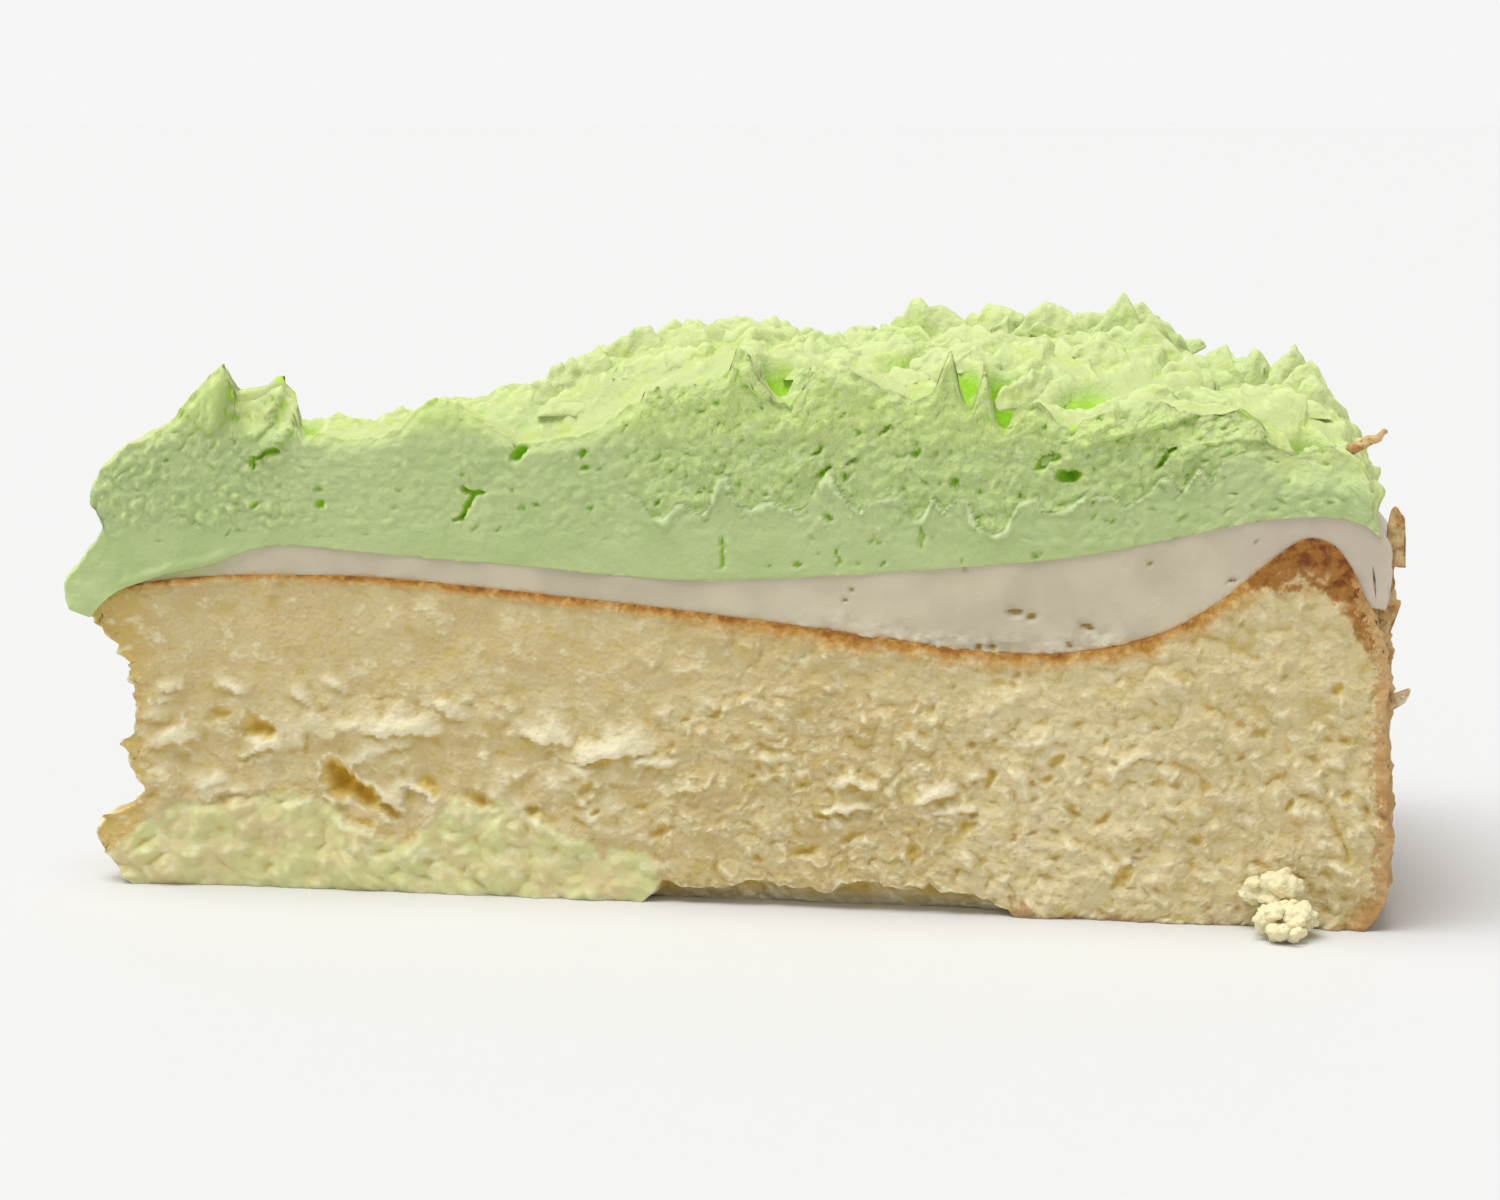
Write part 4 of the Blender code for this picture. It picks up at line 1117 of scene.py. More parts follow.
def leaf_relief(ahead, behind, up_noise, leaves):
    """The tallest leaf's height at each place, and how far that leaf leans there (in two
    directions). A leaf's flanks fall off on a gentle and a steep side of its crest line."""
    height = np.zeros(ahead.shape)
    lean = np.zeros(ahead.shape + (2,))
    for at, back, turn, length, stands, gentle, steep, leans in leaves:
        turn = np.radians(turn)
        dx, dy = ahead - at, behind - back
        run = dx * np.cos(turn) + dy * np.sin(turn)
        beside = dx * np.sin(turn) - dy * np.cos(turn) + 0.5 * up_noise
        near = (np.abs(run) < length) & (beside > -3.2 * gentle) & (beside < 3.2 * steep)
        flank = np.where(beside[near] < 0, -beside[near] / gentle, beside[near] / steep)
        crest = stands * hump(run[near] / length) ** 0.45
        rise = crest * np.exp(-(flank**1.5))
        tall = rise > height[near]
        where = np.flatnonzero(near)[tall]
        height.flat[where] = rise[tall]
        push = leans * (rise[tall] / stands) ** 2
        lean.reshape(-1, 2)[where] = push[:, None] * (np.sin(turn), -np.cos(turn))
    return height, lean


# Places where the spatula dug in behind the cut: distance along the cut, distance behind it,
# half length, half width, turn in degrees, depth.
DUG = [
    (21.9, 2.6, 1.6, 2.2, 0, 1.6), (68.4, 3.0, 2.6, 2.2, 20, 2.6), (72.2, 2.8, 1.5, 1.8, 0, 2.4),
    (86.2, 2.9, 1.9, 2.5, 0, 4.2), (90.3, 3.0, 2.3, 2.8, 0, 5.2), (103.2, 2.2, 2.2, 1.3, 10, 3.2),
    (97.6, 4.4, 3.0, 1.5, 20, 2.0), (108.0, 5.4, 3.6, 1.3, 10, 2.6), (119.4, 2.6, 1.8, 1.5, 8, 3.0),
    (80.4, 6.4, 3.0, 1.8, 25, 1.6), (60.0, 7.0, 2.6, 1.6, 20, 1.0), (112.4, 14.0, 3.2, 2.0, 40, 1.6),
]  # fmt: skip


def dug_out(ahead, behind):
    """How deep the top is dug out: the deepest of the turned oval hollows of DUG."""
    depth = np.zeros(np.shape(ahead))
    for at, back, length, width, turn, deep in DUG:
        c, s = np.cos(np.radians(turn)), np.sin(np.radians(turn))
        dx, dy = ahead - at, behind - back
        far = np.hypot((dx * c + dy * s) / length, (dy * c - dx * s) / width)
        depth = np.maximum(depth, deep * hump(far / 1.3) ** 0.8)
    return depth


def torn_ridges(out, across):
    """Sharp ragged ridges on two sizes: the noise's zero lines stand up, in patches."""
    x, y = out + rough(out, across, 0, 2.4, 681), across + rough(out, across, 0, 2.4, 684)
    large, small = (0.4 - np.abs(wander(x, y, 0, size, 687)) for size in (4.4, 1.9))
    patches = 0.45 + 0.55 * ease(wander(out, across, 0, 9.0, 689) + 0.5)
    return patches * (1.3 * large + 0.75 * small)


def frosting_top(t, v):
    """The top of the frosting at station number t and place v across: the heap stands on the
    line of stations, the leaves on the heap, and near the cut both give way to the knife's
    edge. Heights are straight up, and follow the line's own normal at the tip and the rim."""
    crest, normal = along(FROSTING_TOP, t), outward(FROSTING_TOP, t)
    out = np.maximum(crest[..., 0], 0.0)
    across = out * np.sin(HALF_ANGLE * v)
    ahead, behind = out * np.cos(HALF_ANGLE * (v + 1)), out * np.sin(HALF_ANGLE * (v + 1))
    heap = read_off(HEAP, out) * (1 - np.abs(v) ** 2.6)
    wobble = rough(out, across, 0, 3.0, 611)
    leaves = np.vstack([LEAVES, scattered_leaves(210, 29)])
    stands, lean = leaf_relief(ahead, behind, wobble, leaves)
    body = ease((out - 3) / 5) * ease((124.5 - out) / 2.5) * (t > 4)
    skin = 0.2 * rough(out, across, crest[..., 1], 2.4, 621)
    skin = skin + 0.1 * billow(out, across, crest[..., 1], 1.1, 625, 2)
    skin = skin + 0.6 * rough(out, across, crest[..., 1], 1.7, 696) * (1 - body) * ease((20 - out) / 4)
    side = ease((out - 121) / 2)
    lobes = 1.1 * side * billow(out, across, crest[..., 1], 3.4, 628, 3)
    dug = dug_out(ahead, behind) * body
    tipward = ease((60 - out) / 20)
    lumps = 0.5 * billow(out, across, 0, 2.6, 635, 3) * tipward
    seed_gap, _ = grains(ahead / 1.4, behind, 0, 6.5, 637)
    lumps = lumps - 1.5 * hump(seed_gap / 0.3) * ease((out - 55) / 10)
    calm = 0.7 * ease((ahead - 105) / 6) * ease((16 - behind) / 5)
    lumps = lumps + torn_ridges(out, across) * ease((out - 30) / 20) * (1 - calm)
    height = heap + body * ((0.34 + 0.1 * tipward) * stands + 0.35 * wobble + lumps)
    height = height + skin * (0.6 + 0.4 * body) + lobes
    spread, reach = np.clip(ahead / 28, 0.4, 2.4), np.clip(ahead / 16, 0.8, 5.5)
    soft_edge = sum(read_off(CUT_EDGE, ahead + k * spread) for k in (-1, -0.5, 0, 0.5, 1)) / 5
    by_cut = np.exp(-((behind / reach) ** 2)) * body
    height = height * (1 - by_cut) + by_cut * (soft_edge - crest[..., 1] + 0.5 * wobble + 0.6 * skin)
    height = height - dug
    edge = read_off(CUT_EDGE, ahead) - crest[..., 1] + 0.42 * rough(ahead, 0, 9, 1.7, 631, 3)
    at_cut = np.exp(-((behind / 1.25) ** 4)) * body
    at_back = np.exp(-((out * np.sin(HALF_ANGLE * (1 - v)) / 1.0) ** 2)) * body
    height = height * (1 - at_cut) + at_cut * edge
    height = height * (1 - 0.6 * at_back)
    move = lean * (body * 0.4 * (1 - at_cut) * (1 - at_back))[..., None]
    height = height * (1 - 0.3 * ease((6 - t) / 2))
    back = behind + (v + 1) * FROSTING_TIP_HALF * np.exp(-((out / TIP_REACH) ** 2))
    height = height - 0.14 * back * ease((34 - out) / 12) * body
    rise = normal * (1 - body[..., None]) + np.array([0.0, 1.0]) * body[..., None]
    return crest + rise * height[..., None], move, dug * (1 - at_cut)


# %% [markdown]
# ## The lime frosting: its cut
# The knife left a smooth band at the foot of the frosting. Above a ragged lip it dragged bits
# of the frosting along, so the rest is torn and stands a little further back. Air bubbles
# in the frosting are cut open all over, and their lower edges catch the light.

# %% Lip and bubbles
# The lip: distance out, height. The bubbles are in rows like those of HOLLOWS.
LIP = [
    (54.4, 39.7), (55.8, 39.2), (57.0, 37.5), (58.2, 37.4), (59.5, 38.9), (60.6, 38.6), (61.7, 37.7),
    (62.6, 38.6), (63.4, 41.2), (64.4, 41.6), (64.9, 39.9), (65.4, 38.8), (66.7, 38.5), (68.7, 39.4),
    (69.6, 38.7), (71.4, 38.3), (72.4, 39.3), (73.4, 41.4), (74.4, 42.2), (75.2, 40.4), (76.4, 39.0),
    (77.2, 38.4), (78.2, 39.3), (79.8, 39.8), (81.4, 40.3), (82.1, 37.6), (83.2, 38.0), (84.2, 40.1),
    (85.2, 38.6), (86.3, 40.0), (87.6, 39.8), (88.6, 37.3), (90.0, 36.6), (91.0, 37.0), (92.3, 39.7),
    (94.1, 40.1), (94.9, 38.7), (96.6, 39.0), (98.7, 40.4), (100.0, 40.4), (101.4, 40.5), (102.4, 39.4),
    (104.6, 40.7), (105.6, 42.2), (106.7, 42.1), (107.7, 41.0), (109.3, 43.2), (110.5, 42.0),
    (111.4, 43.7), (113.0, 44.6), (116.0, 45.0), (124.0, 46.0),
]  # fmt: skip
BUBBLES = [
    (17.4, 37.9, 0.5, 0.3, 0.5, 0.7), (23.8, 39.6, 0.5, 0.35, -0.2, 0.4),
    (24.0, 38.1, 0.7, 0.5, 0.0, 0.8), (31.8, 39.6, 0.3, 0.3, 0.0, 0.4), (31.5, 38.0, 0.4, 0.3, 0.0, 0.4),
    (43.8, 43.4, 0.75, 0.55, 0.5, 1.6), (50.3, 43.6, 0.45, 0.4, 0.3, 1.0),
    (50.4, 42.2, 0.4, 0.35, 0.0, 0.9), (38.3, 41.3, 0.3, 0.3, 0.0, 0.4),
    (37.6, 36.8, 0.35, 0.3, 0.0, 0.7),
    (63.9, 42.6, 0.3, 0.3, 0.0, 0.4), (73.1, 44.1, 0.7, 0.35, 0.6, 0.9),
    (64.0, 34.6, 0.28, 1.0, 0.0, 0.6), (63.9, 33.2, 0.25, 0.5, 0.0, 0.6),
    (71.0, 33.3, 0.35, 0.35, 0.0, 0.6), (75.0, 33.8, 0.25, 0.9, 0.0, 0.5),
    (45.6, 38.5, 0.35, 0.3, 0.0, 0.5), (44.2, 38.2, 0.35, 0.3, 0.0, 0.5),
    (50.8, 38.3, 0.4, 0.3, 0.0, 0.5),
    (57.5, 39.0, 0.4, 0.35, 0.0, 0.7), (61.8, 39.9, 0.3, 0.25, 0.0, 0.6), (74.1, 38.0, 0.5, 0.35, -0.4, 0.8),
    (75.7, 41.9, 0.4, 0.45, 0.0, 0.9), (76.4, 43.3, 0.8, 0.3, 0.8, 0.7), (76.9, 46.0, 0.35, 0.35, 0.3, 0.8),
    (79.5, 46.2, 0.7, 0.3, 0.7, 0.9), (82.6, 44.2, 0.7, 0.45, 0.2, 0.9), (86.3, 41.5, 0.5, 0.4, 0.3, 0.9),
    (88.6, 40.6, 0.35, 0.3, 0.0, 0.6), (92.4, 40.3, 0.3, 0.3, 0.0, 0.6), (95.0, 43.6, 1.2, 0.5, 0.45, 2.0),
    (97.0, 42.3, 1.3, 0.65, 0.1, 2.2), (106.0, 44.1, 0.7, 0.5, 0.9, 1.2), (75.3, 33.7, 0.3, 0.3, 0.0, 0.5),
    (79.0, 35.6, 0.3, 0.3, 0.0, 0.5), (79.6, 33.5, 0.35, 0.3, 0.0, 0.6), (83.1, 36.0, 0.3, 0.9, 0.0, 0.5),
    (94.0, 34.8, 0.4, 0.3, 0.0, 0.5), (73.6, 42.2, 0.9, 0.35, 0.7, 0.8),
    (9.8, 37.4, 0.3, 0.3, 0.0, 0.3), (5.5, 38.5, 0.4, 0.3, 0.0, 0.3),
]  # fmt: skip
# Layers that lie over each other on the cut: height, reach, and the path of the edge.
LAYERS = [
    (0.8, 2.6, [(12.8, 44.6), (13.6, 46.0), (13.7, 47.1), (14.0, 48.8), (14.8, 50.4), (14.8, 51.8)]),
    (0.8, 1.8, [(17.0, 43.9), (18.7, 45.4), (19.4, 47.2), (20.0, 48.6), (20.6, 50.4)]),
    (0.9, 2.0, [(16.9, 42.3), (18.6, 43.2), (20.2, 44.0), (21.0, 45.0), (21.9, 46.8), (22.2, 48.8)]),
    (0.7, 2.2, [(65.2, 52.2), (66.0, 50.4), (67.6, 49.4), (69.6, 48.4)]),
    (0.7, 1.3, [(97.0, 44.6), (101.0, 45.8), (105.0, 46.8), (109.6, 48.4)]),
    (0.6, 1.6, [(107.2, 42.4), (108.4, 44.0), (110.2, 45.4), (113.4, 45.9), (117.0, 45.4)]),
]  # fmt: skip
# Cracks: depth, half width, and the path.
CRACKS = [
    (0.9, 0.34, [(16.9, 41.7), (17.2, 42.3), (18.5, 42.9), (19.6, 43.4)]),
    (1.1, 0.46, [(38.3, 39.9), (39.2, 39.4), (40.1, 39.6)]),
    (1.1, 0.44, [(39.3, 39.6), (38.9, 38.5), (38.4, 37.9), (38.1, 36.9)]),
    (0.6, 0.22, [(63.9, 35.6), (64.1, 34.4), (63.8, 33.0)]),
    (0.5, 0.22, [(75.0, 34.9), (75.1, 33.2)]),
    (0.5, 0.2, [(83.0, 37.0), (83.2, 35.2)]),
    (1.2, 0.35, [(105.4, 43.4), (106.2, 44.2), (106.8, 45.2)]),
]  # fmt: skip


# %% Frosting
def above_lip(out, up):
    """1 above the ragged lip, 0 in the smooth band below it and left of where it starts."""
    lip = read_off(LIP, out) + 0.22 * wander(out, 0, 5, 0.8, 641)
    return ease((up - lip) / 0.28) * ease((out - 52) / 6)


def lip_line(x, z):
    """Up to 1 on the lip itself, a torn edge that comes and goes and is thicker in places."""
    gap, _ = beside(x + 0.12 * wander(x, 0, z, 0.7, 645), z + 0.16 * wander(x, 0, z, 0.6, 649), LIP)
    here = ease(1.3 * wander(x, 0, 0, 2.3, 646) + 0.6)
    wide = 0.22 + 0.4 * ease(wander(x, 0, z, 3.0, 652) + 0.35)
    return here * hump((gap + 0.5 * wide) / wide) * ease((x - 53) / 3) * ease((113 - x) / 3)


def leaned_back(out, up):
    """How far the two lobes right of the first peak lean back from the cut."""
    gap, _ = beside(out, up, LAYERS[0][2])
    return ease(-gap / 0.6) * ease((up - 44.2) / 2) * (0.5 + 0.33 * np.maximum(up - 44.2, 0)) * (out < 23)


def scattered_bubbles(count, seed, low=33.0, high=47.0, first=6.0):
    """Small bubbles at seeded places, in rows like those of BUBBLES."""
    dice = np.random.default_rng(seed)
    return np.stack([
        dice.uniform(first, 122, count), dice.uniform(low, high, count),
        dice.uniform(0.2, 0.5, count), dice.uniform(0.16, 0.32, count),
        dice.uniform(-0.4, 0.9, count), dice.uniform(0.2, 0.6, count),
    ], -1)  # fmt: skip


def frosting_pits(out, up):
    """Bubbles and cracks of the tables, and small scattered bubbles: the deepest one counts."""
    x = out + 0.3 * rough(out, 0, up, 1.2, 643)
    z = up + 0.3 * rough(out, 0, up, 1.2, 647)
    small = np.vstack([scattered_bubbles(90, 43), scattered_bubbles(150, 44, 38, 51, 52)])
    pits = hollow_relief(x, z, np.vstack([BUBBLES, small * (1, 1, 1, 1, 1, 0.75)]))
    return np.minimum(pits, grooves(x, z, CRACKS))


def foot_lip(out, up):
    """Up to 1 on the ragged lower edge of the frosting where it hangs over the thin cream."""
    above = up - read_off(CREAM_TOP, out) - 0.6 * np.abs(rough(out, 0, 3, 2.4, 693, 2))
    comes = 0.4 + 0.6 * ease(wander(out, 0, 7, 2.2, 694) + 0.6)
    return hump((above - 0.2) / 0.7) * comes * ease((16 - out) / 3) * ease((out - 3) / 2)


def scattered_shreds(count, seed):
    """Small dragged shreds of frosting above the lip, in rows like those of FLAPS."""
    dice = np.random.default_rng(seed)
    size = dice.uniform(0.6, 1.3, count)
    return np.stack([
        dice.uniform(50, 123, count), dice.uniform(37.0, 50.5, count), 1.5 * size, 0.9 * size,
        dice.uniform(0.1, 0.9, count), 0.34 * size,
    ], -1)  # fmt: skip


def frosting_face(out, across, up):
    """The front cut: torn crumbs and shreds above the lip, soft waves below it, the layers
    and cracks of the tables, and bubbles."""
    torn = above_lip(out, up)
    x = out + 0.3 * rough(out, 0, up, 1.2, 643)
    z = up + 0.3 * rough(out, 0, up, 1.2, 647)
    shreds = flap_relief(x, z, scattered_shreds(260, 41))
    ragged = 0.18 * billow(out + 0.3 * up, across, up - 0.5 * out, 1.3, 651, 2) + 0.5 * shreds
    ragged = ragged + 0.22 * billow(out, across, up, 3.4, 655, 2)
    soft = 0.16 * rough(out / 1.5, across, up, 3.6, 661)
    dents = 0.17 * billow(out, across, up, 1.6, 664, 3) * ease((up - 34) / 3)
    dents = dents * (1 + 1.2 * ease((26 - out) / 8))
    below, shoulder = read_off(CUT_EDGE, out) - up, ease((out - 103) / 8)
    rounded = (0.5 + 0.9 * shoulder) * hump(np.maximum(below, 0) / (1.3 + 2.6 * shoulder))
    rounded = rounded * ease((up - 40) / 3)
    relief = 0.3 + soft + dents + 0.4 * lip_line(x, z) - 0.4 * torn + torn * ragged - rounded
    relief = relief + 0.35 * foot_lip(out, up)
    return relief + ledges(x, z, LAYERS) + frosting_pits(out, up) - leaned_back(out, up)


def frosting_back(out, across, up):
    """The back cut: soft waves, some shreds and bubbles of its own."""
    soft = 0.3 * rough(out / 1.5, across, up, 3.6, 671) + 0.08 * wander(out, across, up, 0.9, 674)
    shreds = flap_relief(out, up, scattered_shreds(200, 47)) * 0.8
    return 0.1 + soft + shreds + hollow_relief(out, up, scattered_bubbles(120, 53))


def frosting_surface(u, v, w):
    """The frosting's points in mm: straight rules from the cream's top to the line of stations,
    and the heap's own height is added to each rule by the fourth power of the way up it."""
    t = even_number(FROSTING_TOP)(u)
    low = along(CREAM_TOP, t) - 0.25 * outward(CREAM_TOP, t)
    high, move, dug = frosting_top(t, v)
    calm = along(FROSTING_TOP, t)
    line = low + (calm - low) * w[..., None] + (high - calm) * (w**4)[..., None]
    out, up = np.moveaxis(line, -1, 0)
    points = in_slice(out, v, up, FROSTING_TIP_HALF)
    shift = (w**3)[..., None] * move
    points[:, 0] += shift[:, 0] * np.cos(HALF_ANGLE) + shift[:, 1] * np.sin(HALF_ANGLE)
    points[:, 1] += -shift[:, 0] * np.sin(HALF_ANGLE) + shift[:, 1] * np.cos(HALF_ANGLE)
    off_cut(points, frosting_face, out, v, up, -1, FRONT, 0.7)
    off_cut(points, frosting_back, out, v, up, 1, BACK, 0.7)
    # The cut's painted shade gives way to the top's colour where the cut rounds over at its edge and where
    # the lobes lean back towards the light.
    below = np.where(v < 0, read_off(CUT_EDGE, out) - up, 9.0)
    soft = ease(below / (1.6 + 3.0 * ease((out - 103) / 8)) + 0.15)
    soft = soft * (1 - np.clip(leaned_back(out, up), 0, 1))
    front, hole = v < -0.999, np.zeros(len(out))
    hole[front] = np.clip(-frosting_pits(out[front], up[front]) / 0.7, 0, 1)
    return points, {
        "hole": hole,
        # cut places the painted shade of the cut face.
        "cut": (w < 0.999) * (np.abs(v) > 0.999) * soft,
        # dug places the painted crevice colour in the dug hollows.
        "dug": np.clip(dug / 2.5, 0, 1) * (w > 0.9),
        # lip places the painted highlight on the lip and the foot's ragged edge.
        "lip": np.maximum(lip_line(out, up), 0.5 * foot_lip(out, up)) * front,
        "torn": above_lip(out, up) * (w < 0.999) * front,
        # high places the painted light towards the top of the cut.
        "high": ease((up - 43) / 5) * front,
    }


corners, faces = block((520, 78), (50, 6, 300, 6), np.linspace(-0.992, 0.992, 116), (240, 24))
points, depths = frosting_surface(*corners.T)
frosting = make_piece("lime_frosting_heap", points, faces)
for name, values in depths.items():
    give(frosting, name, values)
# How sunken each corner lies places the painted crevice colour and the painted highlights on ridges.
near, wide = sunken(frosting, (4, 30))
give(frosting, "deep", np.clip(wide / 1.1, -1, 1))
give(frosting, "pit", np.clip(near / 0.2, -1, 1))


# %% [markdown]
# ## The lime frosting: its petals
# The strokes of the spatula ended in thin torn edges that stand up one behind the other, like
# petals. The block cannot fold back on itself, so each petal is a small closed blade of its
# own, with its root sunk in the heap. They are all made at once, and stay one piece.

# %% Petals that stand out
# Distance along the cut, distance behind it, height of the peak, half width, place of the peak
# across it (-1 to 1), lean, turn in degrees.
SKYLINE = [
    (45.6, 5.0, 51.6, 3.0, 0.3, 0.6, 6),
    (49.0, 6.0, 53.4, 3.4, 0.3, 0.6, 6), (53.0, 8.0, 55.3, 4.2, 0.4, 0.8, 8),
    (57.0, 11.0, 54.9, 4.4, 0.1, 0.8, 4), (61.2, 13.0, 54.3, 5.4, 0.3, 0.9, 0),
    (62.4, 10.0, 55.3, 5.4, 0.35, 1.0, 10), (68.0, 14.0, 53.1, 4.6, 0.2, 1.0, 12),
    (73.0, 12.0, 54.4, 4.0, -0.2, 0.8, -6), (76.6, 15.0, 54.8, 4.0, 0.4, 1.0, 6),
    (81.6, 17.0, 57.8, 4.8, -0.3, 1.0, 10), (87.0, 18.0, 57.5, 4.2, 0.2, 1.0, 0),
    (93.0, 17.0, 57.9, 3.6, -0.1, 1.2, 8), (99.3, 19.0, 58.3, 2.7, 0.1, 1.0, 0),
    (101.7, 20.0, 57.6, 3.0, 0.0, 0.8, 10), (103.9, 21.0, 56.2, 2.4, -0.2, 0.8, 20),
    (107.9, 18.0, 53.4, 3.6, 0.5, 1.0, 0), (112.9, 19.0, 53.0, 2.6, 0.0, 0.8, 10),
    (116.4, 16.0, 53.6, 2.6, 0.1, 0.8, 0), (117.6, 13.0, 52.6, 2.8, 0.3, 0.8, 0),
    (118.8, 10.0, 51.0, 3.0, 0.1, 0.6, 20),
    (90.4, 7.0, 54.3, 4.8, 0.5, 1.6, 18), (85.0, 7.0, 53.7, 4.0, 0.4, 1.0, 20),
    (97.0, 9.5, 53.5, 5.4, -0.3, 1.4, 0), (104.6, 9.0, 52.5, 4.8, 0.5, 1.0, 8),
    (78.6, 8.0, 53.7, 6.4, 0.2, 1.4, 6), (73.4, 5.6, 53.2, 4.2, 0.5, 1.0, 14),
    (114.0, 7.0, 50.2, 6.4, 0.1, 1.4, 4), (109.0, 5.4, 50.8, 4.4, -0.3, 1.0, 0),
    (57.6, 5.0, 52.9, 5.0, 0.2, 1.4, 8), (50.0, 3.6, 48.9, 4.6, 0.3, 1.2, 6),
    (100.6, 14.0, 55.7, 5.6, 0.3, 1.4, 6), (86.4, 12.4, 55.4, 5.6, -0.2, 1.4, 4),
    (106.6, 13.6, 53.3, 4.8, -0.2, 1.2, 2), (71.0, 9.0, 53.6, 4.4, 0.2, 1.2, 4),
]  # fmt: skip
# Torn ribbons at the cut: distance along it, distance behind it, height of the root, height
# above it, half width, place of the peak, lean, turn and roll in degrees, how much it narrows
# upwards, and how blunt it is.
RIBBONS = [
    (97.6, 1.8, 44.4, 3.0, 5.6, 0.3, 0.8, 2, 24, 0.25, 6.0),
    (103.2, 3.8, 46.4, 3.4, 5.2, 0.2, 1.0, 4, 26, 0.25, 6.0),
    (66.4, 2.0, 49.6, 3.9, 2.0, -0.7, 0.9, 30, -14, 0.7, 2.4),
    (71.0, 2.8, 47.0, 5.0, 2.6, 0.0, 1.2, 8, -10, 0.5, 2.4),
    (121.2, 1.7, 41.8, 3.4, 3.2, 0.2, 0.2, 6, 12, 0.3, 4.0),
]  # fmt: skip


# %% Petals
def heap_height(ahead, behind):
    """How high the heap lies at a place: the station number is read off its distance out."""
    out, angle = np.hypot(ahead, behind), np.arctan2(behind, ahead)
    numbers = np.linspace(5, 17.6, 500)
    t = np.interp(out, along(FROSTING_TOP, numbers)[:, 0], numbers)
    return frosting_top(t, np.clip(angle / HALF_ANGLE - 1, -0.97, 0.97))[0][..., 1]


def petal_rows(seed):
    """Every petal as a row of sizes: those of the tables, and others in rows behind the cut, one
    stroke apart, each pushed a little off its place. They are smaller towards the tip."""
    dice = np.random.default_rng(seed)
    ahead, behind = (side.ravel() for side in np.meshgrid(np.arange(46, 124, 9.4), np.arange(5.4, 60, 6.4)))
    ahead = ahead + 4.7 * (np.rint(behind / 6.4) % 2) + dice.uniform(-4, 4, ahead.size)
    behind = behind + dice.uniform(-2.6, 2.6, ahead.size)
    out, angle = np.hypot(ahead, behind), np.arctan2(behind, ahead) / HALF_ANGLE / 2
    inside = (out > 42) & (out < 121) & (angle < 0.955)
    inside &= (ahead < 105) | (behind > 17) | (dice.random(ahead.size) < 0.25)
    ahead, behind, out = ahead[inside], behind[inside], out[inside]
    count = len(ahead)
    size = read_off([(42, 0.4), (62, 0.8), (84, 1.0), (124, 0.85)], out) * dice.uniform(0.55, 1.25, count)
    sky, torn = np.array(SKYLINE, float), np.array(RIBBONS, float)
    ahead, behind = np.r_[sky[:, 0], ahead], np.r_[sky[:, 1], behind]
    sunk = np.r_[np.full(len(sky), 1.8), 2.0 * size]
    root = heap_height(ahead, behind) - sunk
    stands = np.r_[np.maximum(sky[:, 2] - root[: len(sky)], 3.0), 3.3 * size * dice.uniform(0.85, 1.2, count)]
    rows = np.stack([
        ahead, behind, root, stands,
        np.r_[sky[:, 3] * 1.1, 5.2 * size * dice.uniform(0.75, 1.25, count)],
        np.r_[sky[:, 4], dice.uniform(-0.5, 0.6, count)],
        np.r_[sky[:, 5] * 1.5, 1.6 * size * dice.uniform(0.5, 1.4, count)],
        np.r_[sky[:, 6], dice.normal(8, 26, count)],
        np.r_[np.zeros(len(sky)), dice.normal(0, 14, count)],
        np.r_[np.full(len(sky), 0.06), dice.uniform(-0.1, 0.22, count)],
        np.zeros(len(ahead)), sunk, np.r_[np.full(len(sky), 1.1), dice.uniform(1.0, 2.2, count)],
    ])  # fmt: skip
    # The seeded petals nearest to both the tip and the cut are left out.
    kept = np.r_[np.ones(len(sky), bool), (out > 56) | (behind[len(sky):] > 12)]
    cup, sunk_in = np.full((len(torn), 1), 0.05), np.full((len(torn), 1), 2.0)
    torn = np.hstack([torn[:, :9], cup, torn[:, 9:10], sunk_in, torn[:, 10:]])
    names = "ahead behind root stands half peak lean turn roll cup cut sunk blunt".split()
    return dict(zip(names, np.hstack([rows[:, kept], torn.T])))


